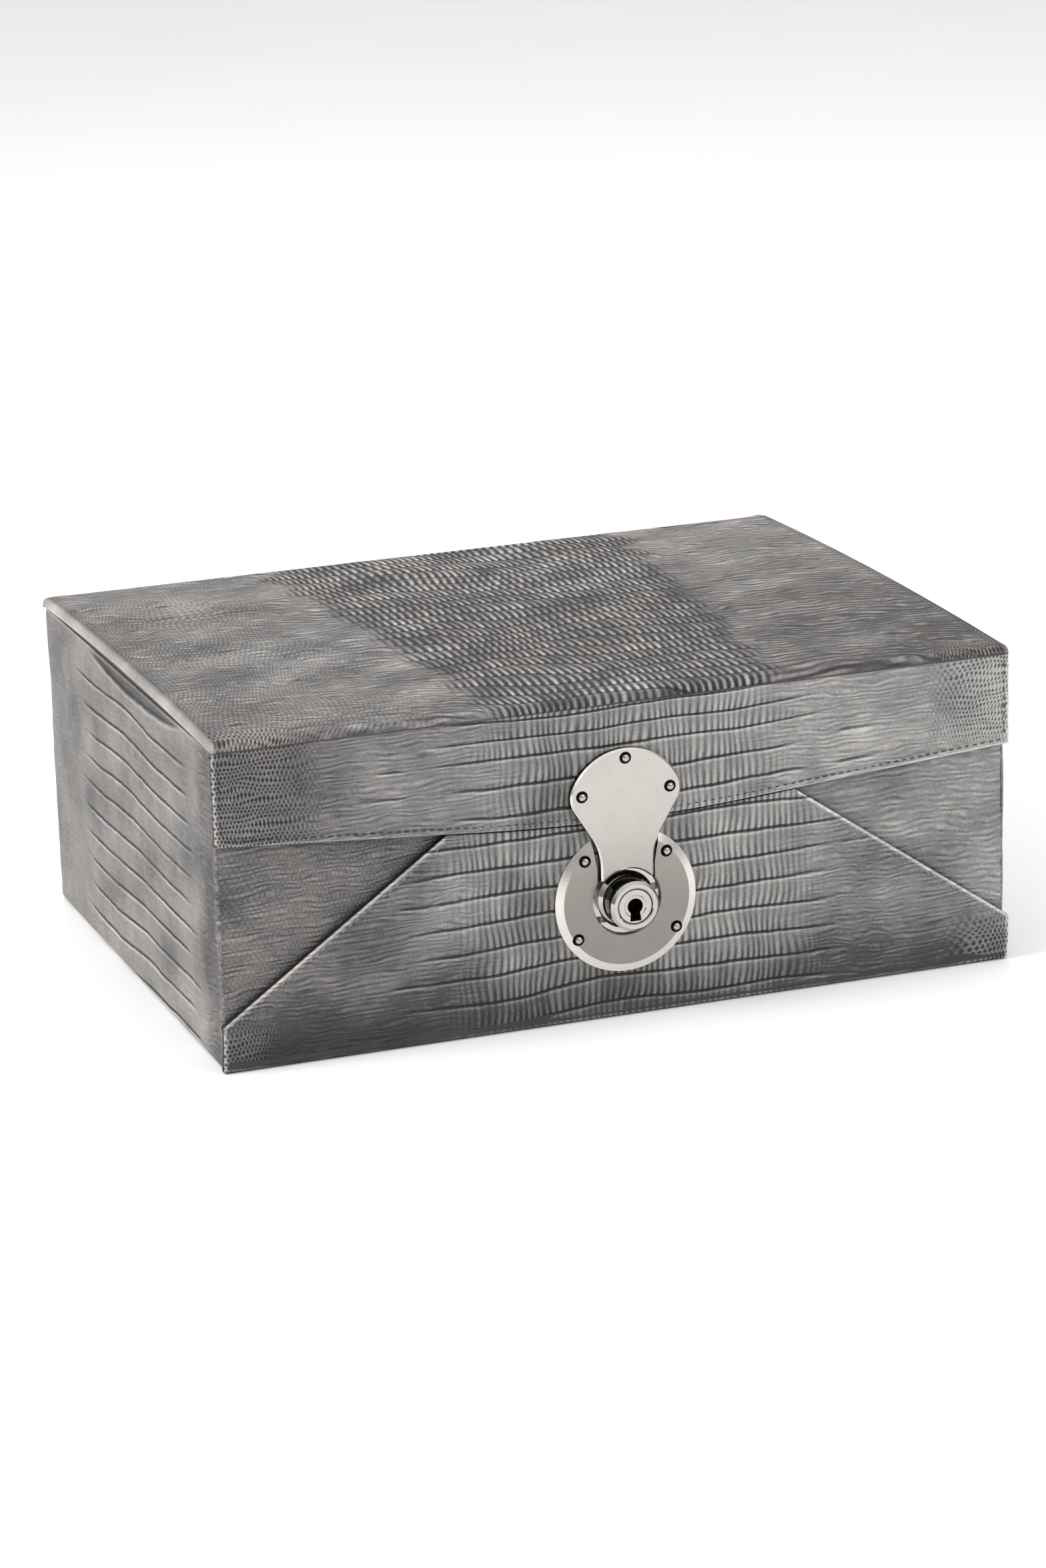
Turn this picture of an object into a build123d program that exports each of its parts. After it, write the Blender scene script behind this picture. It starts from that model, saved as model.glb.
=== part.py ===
from build123d import *
import math
import os

os.makedirs("parts", exist_ok=True)

# Jewellery chest: X to the right, the lock faces -Y, +Z up.
# The origin is the middle of the bottom face. All lengths are in millimetres.

# Outside of the closed chest
WIDTH = 300.0
DEPTH = 225.0
HEIGHT = 120.0
CROWN = 2.0

# Stock thicknesses
LEATHER = 1.2
BOARD = 6.0
THIN_BOARD = 4.0
PAD = 2.0

# Clearances
SLIDE_GAP = 0.5
LID_GAP = 0.4
EDGE_GAP = 0.4

# Case walls, from the outside inwards
LEFT_RIGHT = WIDTH / 2
FRONT = -DEPTH / 2
BACK = DEPTH / 2
CASE_X = LEFT_RIGHT - 0.5
CHEEK_Y = FRONT + 4.0
WALL_X = CASE_X - LEATHER
INNER_X = WALL_X - BOARD
WALL_FRONT = CHEEK_Y + LEATHER
INNER_FRONT = WALL_FRONT + BOARD
WALL_BACK = BACK - LEATHER
INNER_BACK = WALL_BACK - BOARD
FLOOR = LEATHER + BOARD

# Lid
LID_EDGE = 3.5
LID_ARCH = 1.4
LID_Z = HEIGHT - LID_EDGE
WALL_TOP = LID_Z - LID_GAP
FLAP_THICKNESS = 3.5
FLAP_BACK = FRONT + FLAP_THICKNESS
LID_ROUND = 3.0
FLAP_BOARD_DROP = 0.2
FLAP_CORNER_Z = 83.1
FLAP_BEND_X = 50.0
FLAP_BEND_Z = 75.7
FLAP_MIDDLE_Z = 73.85

# Hexagonal drawer front
PANEL_FRONT = FRONT + 0.6
PANEL_BACK = CHEEK_Y - 0.3
PANEL_FOOT = 0.6
PANEL_END_Z = 17.5
PANEL_TOP_X = 66.0
PANEL_TOP_Z = 76.48

# Drawer tunnel inside the case
OPENING_X = 93.0
OPENING_TOP = 58.0
TUNNEL_X = 97.5
ROOF_Z = 59.0
ROOF_TOP = ROOF_Z + 3.0
DRAWER_X = 92.0
CORE_BACK = -103.0
DRAWER_BACK = 97.0
LOWER_Z = FLOOR + SLIDE_GAP
LOWER_TOP = 31.5
RUNNER_X = 87.5
RUNNER_END = 2.0
RUNNER_Z = 31.9
RUNNER_TOP = 33.3
UPPER_Z = 33.7
UPPER_TOP = 57.0
UPPER_FRONT = -100.5
DRAWER_FLOOR = 3.0

# Lift-out tray on its rails
RAIL_Z = 84.0
RAIL_TOP = 88.0
RAIL_DEPTH = 6.0
TRAY_Z = RAIL_TOP + 0.3
TRAY_TOP = 110.0
TRAY_WALL = 3.0
TRAY_SPLIT_Y = 20.0
TRAY_DIVIDER_DROP = 3.0
ROLL_COUNT = 8
ROLL_GAP = 0.6
ROLL_END_GAP = 0.3
ROLL_HEIGHT = 14.0

# Hinges at the back
HINGE_X = 90.0
HINGE_LENGTH = 40.0
HINGE_Y = BACK + 2.3
HINGE_Z = (LID_Z + WALL_TOP) / 2
KNUCKLE_R = 2.0
KNUCKLE_END = 10.0
KNUCKLE_GAP = 0.3
PIN_R = 1.0
PIN_FIT = 0.04
PIN_OVERHANG = 0.4
LEAF = 1.0
LEAF_FRONT = INNER_BACK + 0.2
LEAF_FIT = 0.1
SCREW_Y = INNER_BACK + 3.2
SCREW_SPREAD = 13.0
SCREW_HEAD_R = 1.8
SCREW_R = 0.9
SCREW_FIT = 0.02
SCREW_LENGTH = 6.8
LID_SCREW_LENGTH = 2.0
SCREW_HOLE_SPARE = 0.2

# Lock and hasp
LOCK_Z = 44.4
PLATE_R = 26.7
PLATE_HOLE_R = 12.8
PLATE_THICKNESS = 1.5
PLATE_BEVEL = 2.9
PLATE_RIM = 0.4
NOTCH_TOP_X = 13.6
NOTCH_FOOT_X = 10.9
PLATE_RIVET_R = 22.4
PLATE_RIVET_ANGLES = (46.4, 133.6, 213.7, 326.3)
BARREL_R = 9.2
BARREL_FRONT = FRONT - 9.8
CORE_R = 6.5
SHAFT_R = 3.0
POCKET_R = 20.8
SLOT_X = 3.6
KEYHOLE_R = 2.9
KEYHOLE_NECK_X = 1.6
KEYHOLE_FOOT_X = 2.1
KEYHOLE_FOOT = 5.4
KEYHOLE_DEPTH = 7.0
HASP_THICKNESS = 2.6
HASP_BEVEL = 0.6
HASP_CORNER_R = 0.8
HASP_TOP = 100.8
HASP_WIDE_X = 20.8
HASP_WIDE_Z = 84.6
HASP_SHOULDER_X = 20.0
HASP_SHOULDERS_Z = (80.6, 88.0)
HASP_NECK = (12.9, 69.0)
HASP_WAIST = (10.8, 64.0)
HASP_TAIL_X = 9.9
HASP_TAIL_Z = 58.0
HASP_ARC_R = 12.0
RIVET_R = 0.9
RIVET_FIT = 0.05
RIVET_HEAD_R = 1.7
RIVET_HEAD_HEIGHT = 1.15
HASP_RIVETS = ((0.0, 97.4), (-16.6, 85.0), (16.6, 85.0))
CATCH_X = 2.8
CATCH_Z = (57.8, 60.6)
CATCH_REACH = 2.5


def block(x, y, z, mode=Mode.ADD):
    """Add or cut a box that spans the given ranges."""
    spans = (x, y, z)
    centre = tuple((low + high) / 2 for low, high in spans)
    size = tuple(high - low for low, high in spans)
    with Locations(centre):
        Box(*size, mode=mode)


def front_plane(y):
    """Upright plane at y, seen from the front; it extrudes towards -Y."""
    return Plane.XZ.offset(-y)


def lock_plane(y):
    """Upright plane at y, centred on the lock's axis."""
    return Plane(origin=(0, y, LOCK_Z), x_dir=(1, 0, 0), z_dir=(0, -1, 0))


def underside(y):
    """Height of the lid's arched underside at y."""
    return LID_Z + LID_ARCH * (1 - (y / BACK) ** 2)


def lid_prism(front, back, top_edge, half_length, mode=Mode.ADD):
    """Add or cut the lid's section from its arched underside up to its crowned top."""
    with BuildSketch(Plane.YZ) as section:
        with BuildLine():
            ThreePointArc((front, underside(front)), (0, underside(0)), (back, underside(back)))
            ThreePointArc((front, top_edge), (0, top_edge + CROWN), (back, top_edge))
            Line((front, underside(front)), (front, top_edge))
            Line((back, underside(back)), (back, top_edge))
        make_face()
    extrude(section.sketch, amount=half_length, both=True, mode=mode)


def flap_edge(rise):
    """Lower edge of the flap between its two bends, moved up by rise."""
    ThreePointArc(
        (-FLAP_BEND_X, FLAP_BEND_Z + rise),
        (0, FLAP_MIDDLE_Z + rise),
        (FLAP_BEND_X, FLAP_BEND_Z + rise),
    )


def flap_outline(half_width, rise, top):
    """Face of the flap, seen from the front."""
    with BuildLine() as outline:
        flap_edge(rise)
        corner_z = FLAP_CORNER_Z + rise
        Polyline(
            (FLAP_BEND_X, FLAP_BEND_Z + rise),
            (half_width, corner_z),
            (half_width, top),
            (-half_width, top),
            (-half_width, corner_z),
            (-FLAP_BEND_X, FLAP_BEND_Z + rise),
        )
    make_face(outline.line)


def panel_outline():
    """Face of the hexagonal drawer front, seen from the front."""
    with BuildLine() as outline:
        flap_edge(-EDGE_GAP)
        bend_z = FLAP_BEND_Z - EDGE_GAP
        Polyline(
            (FLAP_BEND_X, bend_z),
            (PANEL_TOP_X, PANEL_TOP_Z),
            (LEFT_RIGHT, PANEL_END_Z),
            (LEFT_RIGHT, PANEL_FOOT),
            (-LEFT_RIGHT, PANEL_FOOT),
            (-LEFT_RIGHT, PANEL_END_Z),
            (-PANEL_TOP_X, PANEL_TOP_Z),
            (-FLAP_BEND_X, bend_z),
        )
    make_face(outline.line)


def lock_pocket():
    """Cut the lock's round pocket, the catch slot and the rivet holes from the drawer front."""
    with BuildSketch(lock_plane(PANEL_BACK)) as pocket:
        Circle(POCKET_R)
        with Locations((0, POCKET_R)):
            Rectangle(2 * SLOT_X, 2 * POCKET_R)
        for angle in PLATE_RIVET_ANGLES:
            with PolarLocations(PLATE_RIVET_R, 1, start_angle=angle):
                Circle(RIVET_R + RIVET_FIT)
    extrude(pocket.sketch, amount=PANEL_BACK - PANEL_FRONT, mode=Mode.SUBTRACT)


def hasp_outline():
    """Pear-shaped face of the hasp plate, seen from the front."""
    tail_end = LOCK_Z + (HASP_ARC_R**2 - HASP_TAIL_X**2) ** 0.5
    low_shoulder, high_shoulder = HASP_SHOULDERS_Z
    with BuildLine() as outline:
        ThreePointArc((-HASP_SHOULDER_X, high_shoulder), (0, HASP_TOP), (HASP_SHOULDER_X, high_shoulder))
        ThreePointArc((HASP_TAIL_X, tail_end), (0, LOCK_Z + HASP_ARC_R), (-HASP_TAIL_X, tail_end))
        for side in (-1, 1):
            high = (side * HASP_SHOULDER_X, high_shoulder)
            low = (side * HASP_SHOULDER_X, low_shoulder)
            neck = (side * HASP_NECK[0], HASP_NECK[1])
            tail = (side * HASP_TAIL_X, HASP_TAIL_Z)
            ThreePointArc(high, (side * HASP_WIDE_X, HASP_WIDE_Z), low)
            Line(low, neck)
            ThreePointArc(neck, (side * HASP_WAIST[0], HASP_WAIST[1]), tail)
            Line(tail, (side * HASP_TAIL_X, tail_end))
    make_face(outline.line)


def turned(points):
    """Revolve a closed profile of (radius, y) points about the lock's axis."""
    with BuildSketch(Plane.XY.offset(LOCK_Z)) as profile:
        with BuildLine():
            Polyline(*points, close=True)
        make_face()
    revolve(profile.sketch, axis=Axis((0, 0, LOCK_Z), (0, 1, 0)))


def rivets(places, head_y, shank_back):
    """Domed rivets at the given (x, z) places, with their shanks towards the back."""
    cap_r = (RIVET_HEAD_R**2 + RIVET_HEAD_HEIGHT**2) / (2 * RIVET_HEAD_HEIGHT)
    cap_angle = math.degrees(math.asin(RIVET_HEAD_R / cap_r))
    for x, z in places:
        with BuildSketch(Plane.XY.offset(z)) as profile:
            with BuildLine():
                cap = CenterArc((x, head_y - RIVET_HEAD_HEIGHT + cap_r), cap_r, -90, cap_angle)
                shank_x = x + RIVET_R
                Polyline(cap @ 1, (shank_x, head_y), (shank_x, shank_back), (x, shank_back), cap @ 0)
            make_face()
        revolve(profile.sketch, axis=Axis((x, 0, z), (0, 1, 0)))


def rivet_holes(places, front, back):
    """Cut the shank holes for rivets at the given (x, z) places."""
    with BuildSketch(front_plane(back)) as holes:
        with Locations(*places):
            Circle(RIVET_R + RIVET_FIT)
    extrude(holes.sketch, amount=back - front, mode=Mode.SUBTRACT)


def hinge_leaves(z, ends_carry_knuckles):
    """A pair of hinge leaves whose underside is at z, with their knuckles."""
    end = HINGE_LENGTH / 2
    middle = end - KNUCKLE_END
    if ends_carry_knuckles:
        spans = ((-end, -middle), (middle, end))
    else:
        spans = ((-middle + KNUCKLE_GAP, middle - KNUCKLE_GAP),)
    for side in (-HINGE_X, HINGE_X):
        block((side - end, side + end), (LEAF_FRONT, BACK), (z, z + LEAF))
        for low, high in spans:
            block((side + low, side + high), (BACK, HINGE_Y), (z, z + LEAF))
            with BuildSketch(Plane.YZ.offset(side + low)) as knuckle:
                with Locations((HINGE_Y, HINGE_Z)):
                    Circle(KNUCKLE_R)
            extrude(knuckle.sketch, amount=high - low)
        with BuildSketch(Plane.YZ.offset(side - end)) as bore:
            with Locations((HINGE_Y, HINGE_Z)):
                Circle(PIN_R + PIN_FIT)
        extrude(bore.sketch, amount=HINGE_LENGTH, mode=Mode.SUBTRACT)


def hinge_pockets(z):
    """Cut the pockets that the hinge leaves lie in."""
    end = HINGE_LENGTH / 2 + LEAF_FIT
    for side in (-HINGE_X, HINGE_X):
        block((side - end, side + end), (LEAF_FRONT - LEAF_FIT, BACK + 1), (z, z + LEAF), Mode.SUBTRACT)


def screw_places():
    """Places of the hinge screws as (x, y) pairs."""
    steps = (-SCREW_SPREAD, 0, SCREW_SPREAD)
    return [(side + step, SCREW_Y) for side in (-HINGE_X, HINGE_X) for step in steps]


def screw_bodies(z, length, direction, growth, mode):
    """Countersunk screws whose heads start at z; growth widens them where they cut holes."""
    head_r = SCREW_HEAD_R + growth
    shank_r = SCREW_R + growth
    neck_z = z + (SCREW_HEAD_R - SCREW_R) * direction
    tip_z = z + length * direction
    for x, y in screw_places():
        with BuildSketch(front_plane(y)) as profile:
            with BuildLine():
                Polyline(
                    (x, z),
                    (x + head_r, z),
                    (x + shank_r, neck_z),
                    (x + shank_r, tip_z),
                    (x, tip_z),
                    close=True,
                )
            make_face()
        revolve(profile.sketch, axis=Axis((x, y, 0), (0, 0, 1)), mode=mode)


def case_screw_holes():
    """Cut the holes for the screws in the back wall."""
    screw_bodies(WALL_TOP, SCREW_LENGTH + SCREW_HOLE_SPARE, -1, SCREW_FIT, Mode.SUBTRACT)


def lid_screw_holes():
    """Cut the holes for the screws in the lid."""
    screw_bodies(LID_Z, LID_SCREW_LENGTH + SCREW_HOLE_SPARE, 1, SCREW_FIT, Mode.SUBTRACT)


# ---- Case: base, walls and their leather ----

with BuildPart() as base_leather:
    block((-WALL_X, WALL_X), (WALL_FRONT, WALL_BACK), (0, LEATHER))

with BuildPart() as base_board:
    block((-WALL_X, WALL_X), (WALL_FRONT, WALL_BACK), (LEATHER, FLOOR))

with BuildPart() as left_wall:
    block((-WALL_X, -INNER_X), (WALL_FRONT, WALL_BACK), (FLOOR, WALL_TOP))

with BuildPart() as right_wall:
    block((INNER_X, WALL_X), (WALL_FRONT, WALL_BACK), (FLOOR, WALL_TOP))

with BuildPart() as back_wall:
    block((-INNER_X, INNER_X), (INNER_BACK, WALL_BACK), (FLOOR, WALL_TOP))
    hinge_pockets(WALL_TOP - LEAF)
    case_screw_holes()

with BuildPart() as front_post_left:
    block((-INNER_X, -OPENING_X), (WALL_FRONT, INNER_FRONT), (FLOOR, OPENING_TOP))

with BuildPart() as front_post_right:
    block((OPENING_X, INNER_X), (WALL_FRONT, INNER_FRONT), (FLOOR, OPENING_TOP))

with BuildPart() as front_rail:
    block((-INNER_X, INNER_X), (WALL_FRONT, INNER_FRONT), (OPENING_TOP, WALL_TOP))

with BuildPart() as left_leather:
    block((-CASE_X, -WALL_X), (CHEEK_Y, BACK), (0, WALL_TOP))
    block((-WALL_X, 0), (CHEEK_Y, WALL_FRONT), (0, WALL_TOP))
    block((-OPENING_X, 1), (CHEEK_Y - 1, WALL_FRONT + 1), (FLOOR, OPENING_TOP), Mode.SUBTRACT)

with BuildPart() as right_leather:
    block((WALL_X, CASE_X), (CHEEK_Y, BACK), (0, WALL_TOP))
    block((0, WALL_X), (CHEEK_Y, WALL_FRONT), (0, WALL_TOP))
    block((-1, OPENING_X), (CHEEK_Y - 1, WALL_FRONT + 1), (FLOOR, OPENING_TOP), Mode.SUBTRACT)

with BuildPart() as back_leather:
    block((-WALL_X, WALL_X), (WALL_BACK, BACK), (0, WALL_TOP))
    hinge_pockets(WALL_TOP - LEAF)

# ---- Case: drawer tunnel, compartments and tray rails ----

with BuildPart() as tunnel_left:
    block((-TUNNEL_X, -OPENING_X - SLIDE_GAP), (INNER_FRONT, INNER_BACK), (FLOOR, ROOF_Z))

with BuildPart() as tunnel_right:
    block((OPENING_X + SLIDE_GAP, TUNNEL_X), (INNER_FRONT, INNER_BACK), (FLOOR, ROOF_Z))

with BuildPart() as tunnel_roof:
    block((-TUNNEL_X, TUNNEL_X), (INNER_FRONT, INNER_BACK), (ROOF_Z, ROOF_TOP))

with BuildPart() as drawer_runners:
    for side in (-1, 1):
        inner, outer = sorted((side * RUNNER_X, side * (OPENING_X + SLIDE_GAP)))
        runner_y = (INNER_FRONT + RUNNER_END, INNER_BACK - RUNNER_END)
        block((inner, outer), runner_y, (RUNNER_Z, RUNNER_TOP))

with BuildPart() as tray_rails:
    block((-INNER_X, INNER_X), (INNER_FRONT, INNER_FRONT + RAIL_DEPTH), (RAIL_Z, RAIL_TOP))
    block((-INNER_X, INNER_X), (INNER_BACK - RAIL_DEPTH, INNER_BACK), (RAIL_Z, RAIL_TOP))

with BuildPart() as compartment_pad:
    block((-TUNNEL_X, TUNNEL_X), (INNER_FRONT, INNER_BACK), (ROOF_TOP, ROOF_TOP + PAD))

with BuildPart() as well_pads:
    for side in (-1, 1):
        inner, outer = sorted((side * TUNNEL_X, side * INNER_X))
        block((inner, outer), (INNER_FRONT, INNER_BACK), (FLOOR, FLOOR + PAD))

DIVIDER = 3.0
DIVIDER_TOP = 82.0
DIVIDER_Y = 2.0

with BuildPart() as long_divider:
    block(
        (-TUNNEL_X, TUNNEL_X),
        (DIVIDER_Y - DIVIDER / 2, DIVIDER_Y + DIVIDER / 2),
        (ROOF_TOP + PAD, DIVIDER_TOP),
    )

with BuildPart() as cross_dividers:
    block(
        (-DIVIDER / 2, DIVIDER / 2),
        (INNER_FRONT, DIVIDER_Y - DIVIDER / 2),
        (ROOF_TOP + PAD, DIVIDER_TOP),
    )
    block(
        (-DIVIDER / 2, DIVIDER / 2),
        (DIVIDER_Y + DIVIDER / 2, INNER_BACK),
        (ROOF_TOP + PAD, DIVIDER_TOP),
    )

# ---- Hinges ----

with BuildPart() as hinge_lower_leaves:
    hinge_leaves(WALL_TOP - LEAF, True)
    case_screw_holes()

with BuildPart() as hinge_upper_leaves:
    hinge_leaves(LID_Z, False)
    lid_screw_holes()

with BuildPart() as hinge_pins:
    for side in (-HINGE_X, HINGE_X):
        with BuildSketch(Plane.YZ.offset(side - HINGE_LENGTH / 2 - PIN_OVERHANG)):
            with Locations((HINGE_Y, HINGE_Z)):
                Circle(PIN_R)
        extrude(amount=HINGE_LENGTH + 2 * PIN_OVERHANG)

with BuildPart() as hinge_screws:
    screw_bodies(WALL_TOP, SCREW_LENGTH, -1, 0, Mode.ADD)

with BuildPart() as lid_hinge_screws:
    screw_bodies(LID_Z, LID_SCREW_LENGTH, 1, 0, Mode.ADD)

# ---- Lid ----

with BuildPart() as lid_board:
    lid_prism(FLAP_BACK, WALL_BACK, HEIGHT - LEATHER, LEFT_RIGHT - LEATHER)
    hinge_pockets(LID_Z)
    lid_screw_holes()

with BuildPart() as flap_board:
    with BuildSketch(front_plane(FLAP_BACK)):
        flap_outline(LEFT_RIGHT - LEATHER, LEATHER, HEIGHT - LEATHER - FLAP_BOARD_DROP)
    extrude(amount=FLAP_THICKNESS - LEATHER)
    rivet_holes(HASP_RIVETS, FRONT, FLAP_BACK)

with BuildPart() as lid_leather:
    lid_prism(FRONT, BACK, HEIGHT, LEFT_RIGHT)
    long_edges = lid_leather.edges().filter_by(Axis.X)
    fillet(long_edges.group_by(Axis.Z)[-1].sort_by(Axis.Y)[0], LID_ROUND)
    with BuildSketch(front_plane(FLAP_BACK)):
        flap_outline(LEFT_RIGHT, 0, LID_Z + LID_ARCH)
    extrude(amount=FLAP_THICKNESS)
    between_ends = (LEATHER - LEFT_RIGHT, LEFT_RIGHT - LEATHER)
    block(between_ends, (FLAP_BACK, WALL_BACK), (LID_Z - 1, LID_Z + LID_ARCH), Mode.SUBTRACT)
    lid_prism(FLAP_BACK, WALL_BACK, HEIGHT - LEATHER, LEFT_RIGHT - LEATHER, Mode.SUBTRACT)
    add(flap_board.part, mode=Mode.SUBTRACT)
    hinge_pockets(LID_Z)
    rivet_holes(HASP_RIVETS, FRONT, FLAP_BACK)

FRAME_X = 139.0
FRAME_Y = 98.0
FRAME_Z = 111.5
MIRROR_X = 127.0
MIRROR_Y = 86.0
MIRROR_Z = (114.2, 116.2)
MIRROR_LIP = 3.0
LINING = 0.4
LINING_GAP = 0.8
LINING_X = INNER_X - LINING_GAP
LINING_Y = (INNER_FRONT + LINING_GAP, INNER_BACK - LINING_GAP)

with BuildPart() as lid_frame:
    block((-FRAME_X, FRAME_X), (-FRAME_Y, FRAME_Y), (FRAME_Z, underside(0)))
    lid_prism(FLAP_BACK, WALL_BACK, HEIGHT, LEFT_RIGHT, Mode.SUBTRACT)
    block((-MIRROR_X, MIRROR_X), (-MIRROR_Y, MIRROR_Y), MIRROR_Z, Mode.SUBTRACT)
    window_x = MIRROR_X - MIRROR_LIP
    window_y = MIRROR_Y - MIRROR_LIP
    block((-window_x, window_x), (-window_y, window_y), (FRAME_Z - 1, MIRROR_Z[0]), Mode.SUBTRACT)

with BuildPart() as mirror:
    block((-MIRROR_X, MIRROR_X), (-MIRROR_Y, MIRROR_Y), MIRROR_Z)

with BuildPart() as lid_lining:
    with BuildSketch(Plane.YZ):
        with BuildLine():
            upper = [(y, underside(y)) for y in (LINING_Y[0], 0, LINING_Y[1])]
            lower = [(y, z - LINING) for y, z in upper]
            ThreePointArc(*upper)
            ThreePointArc(*lower)
            Line(lower[0], upper[0])
            Line(lower[-1], upper[-1])
        make_face()
    extrude(amount=LINING_X, both=True)
    block((-FRAME_X, FRAME_X), (-FRAME_Y, FRAME_Y), (LID_Z - 1, underside(0)), Mode.SUBTRACT)

# ---- Hasp on the flap ----

with BuildPart() as hasp_plate:
    with BuildSketch(front_plane(FRONT)):
        hasp_outline()
        fillet(vertices(), HASP_CORNER_R)
    extrude(amount=HASP_THICKNESS)
    chamfer(hasp_plate.faces().sort_by(Axis.Y)[0].edges(), HASP_BEVEL)
    rivet_holes(HASP_RIVETS, FRONT - HASP_THICKNESS, FRONT)

with BuildPart() as hasp_rivets:
    rivets(HASP_RIVETS, FRONT - HASP_THICKNESS, FLAP_BACK)

with BuildPart() as hasp_catch:
    block((-CATCH_X, CATCH_X), (FRONT, FRONT + CATCH_REACH), CATCH_Z)

# ---- Lower drawer with the hexagonal front and the lock ----

with BuildPart() as drawer_front_board:
    with BuildSketch(front_plane(PANEL_BACK)):
        panel_outline()
        offset(amount=-LEATHER, kind=Kind.INTERSECTION, mode=Mode.REPLACE)
    extrude(amount=PANEL_BACK - PANEL_FRONT - LEATHER)
    lock_pocket()

with BuildPart() as drawer_front_leather:
    with BuildSketch(front_plane(PANEL_BACK)):
        panel_outline()
    extrude(amount=PANEL_BACK - PANEL_FRONT)
    with BuildSketch(front_plane(PANEL_BACK)):
        panel_outline()
        offset(amount=-LEATHER, kind=Kind.INTERSECTION, mode=Mode.REPLACE)
    extrude(amount=PANEL_BACK - PANEL_FRONT - LEATHER, mode=Mode.SUBTRACT)
    lock_pocket()

with BuildPart() as drawer_front_core:
    block((-DRAWER_X, DRAWER_X), (PANEL_BACK, CORE_BACK), (LOWER_Z, UPPER_TOP))

with BuildPart() as lower_drawer_sides:
    for side in (-1, 1):
        inner, outer = sorted((side * (DRAWER_X - THIN_BOARD), side * DRAWER_X))
        block((inner, outer), (CORE_BACK, DRAWER_BACK), (LOWER_Z, LOWER_TOP))

DRAWER_INNER_X = DRAWER_X - THIN_BOARD

with BuildPart() as lower_drawer_back:
    block(
        (-DRAWER_INNER_X, DRAWER_INNER_X),
        (DRAWER_BACK - THIN_BOARD, DRAWER_BACK),
        (LOWER_Z, LOWER_TOP),
    )

with BuildPart() as lower_drawer_bottom:
    block(
        (-DRAWER_INNER_X, DRAWER_INNER_X),
        (CORE_BACK, DRAWER_BACK - THIN_BOARD),
        (LOWER_Z, LOWER_Z + DRAWER_FLOOR),
    )

with BuildPart() as lower_drawer_pad:
    pad_z = LOWER_Z + DRAWER_FLOOR
    block(
        (-DRAWER_INNER_X, DRAWER_INNER_X),
        (CORE_BACK, DRAWER_BACK - THIN_BOARD),
        (pad_z, pad_z + PAD),
    )

with BuildPart() as lock_plate:
    face_y = PANEL_FRONT - PLATE_THICKNESS
    turned(
        (
            (PLATE_HOLE_R, PANEL_FRONT),
            (PLATE_HOLE_R, face_y + PLATE_RIM),
            (PLATE_HOLE_R + PLATE_RIM, face_y),
            (PLATE_R - PLATE_BEVEL, face_y),
            (PLATE_R, PANEL_FRONT - PLATE_RIM),
            (PLATE_R, PANEL_FRONT),
        )
    )
    with BuildSketch(lock_plane(PANEL_FRONT + 1)):
        notch_foot = PLATE_HOLE_R / 2
        with BuildLine():
            Polyline(
                (-NOTCH_TOP_X, PLATE_R + 1),
                (-NOTCH_FOOT_X, PLATE_HOLE_R),
                (-NOTCH_FOOT_X, notch_foot),
                (NOTCH_FOOT_X, notch_foot),
                (NOTCH_FOOT_X, PLATE_HOLE_R),
                (NOTCH_TOP_X, PLATE_R + 1),
                close=True,
            )
        make_face()
    extrude(amount=PLATE_THICKNESS + 2, mode=Mode.SUBTRACT)
    with BuildSketch(lock_plane(PANEL_FRONT + 1)):
        for angle in PLATE_RIVET_ANGLES:
            with PolarLocations(PLATE_RIVET_R, 1, start_angle=angle):
                Circle(RIVET_R + RIVET_FIT)
    extrude(amount=PLATE_THICKNESS + 2, mode=Mode.SUBTRACT)

with BuildPart() as lock_rivets:
    turns = [Vector(PLATE_RIVET_R, 0).rotate(Axis.Z, angle) for angle in PLATE_RIVET_ANGLES]
    places = [(turn.X, LOCK_Z + turn.Y) for turn in turns]
    rivets(places, PANEL_FRONT - PLATE_THICKNESS, PANEL_BACK)

FLANGE_R = 12.4
FLANGE_FRONT = PANEL_FRONT - 0.2
FLANGE_BACK = PANEL_FRONT + 0.8
FILLET_RING = 1.4
TURNING_FIT = 0.05
BARREL_LIP = 0.4
BARREL_CHAMFER = 1.0
CUP_R = POCKET_R - 0.2
CUP_WALL = 0.8
CUP_FLOOR = PANEL_BACK - 0.7
CAM_FRONT = FLANGE_BACK + 0.2
CAM_THICKNESS = 0.8
CORE_FRONT = BARREL_FRONT + 0.5
CORE_SEAT = FLANGE_FRONT - 0.6

with BuildPart() as lock_housing:
    turned(
        (
            (CORE_R + TURNING_FIT, BARREL_FRONT + BARREL_LIP),
            (CORE_R + TURNING_FIT + BARREL_LIP, BARREL_FRONT),
            (BARREL_R - BARREL_CHAMFER, BARREL_FRONT),
            (BARREL_R, BARREL_FRONT + BARREL_CHAMFER),
            (BARREL_R, FLANGE_FRONT - FILLET_RING),
            (BARREL_R + FILLET_RING, FLANGE_FRONT),
            (FLANGE_R, FLANGE_FRONT),
            (FLANGE_R, FLANGE_BACK),
            (SHAFT_R + TURNING_FIT, FLANGE_BACK),
            (SHAFT_R + TURNING_FIT, CORE_SEAT),
            (CORE_R + TURNING_FIT, CORE_SEAT),
        )
    )

with BuildPart() as lock_case:
    with BuildSketch(lock_plane(PANEL_BACK)):
        Circle(CUP_R)
    extrude(amount=PANEL_BACK - CUP_FLOOR)
    with BuildSketch(lock_plane(CUP_FLOOR)):
        Circle(CUP_R)
        Circle(CUP_R - CUP_WALL, mode=Mode.SUBTRACT)
        with Locations((0, POCKET_R)):
            Rectangle(2 * SLOT_X, POCKET_R, mode=Mode.SUBTRACT)
    extrude(amount=CUP_FLOOR - PANEL_FRONT)

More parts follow.
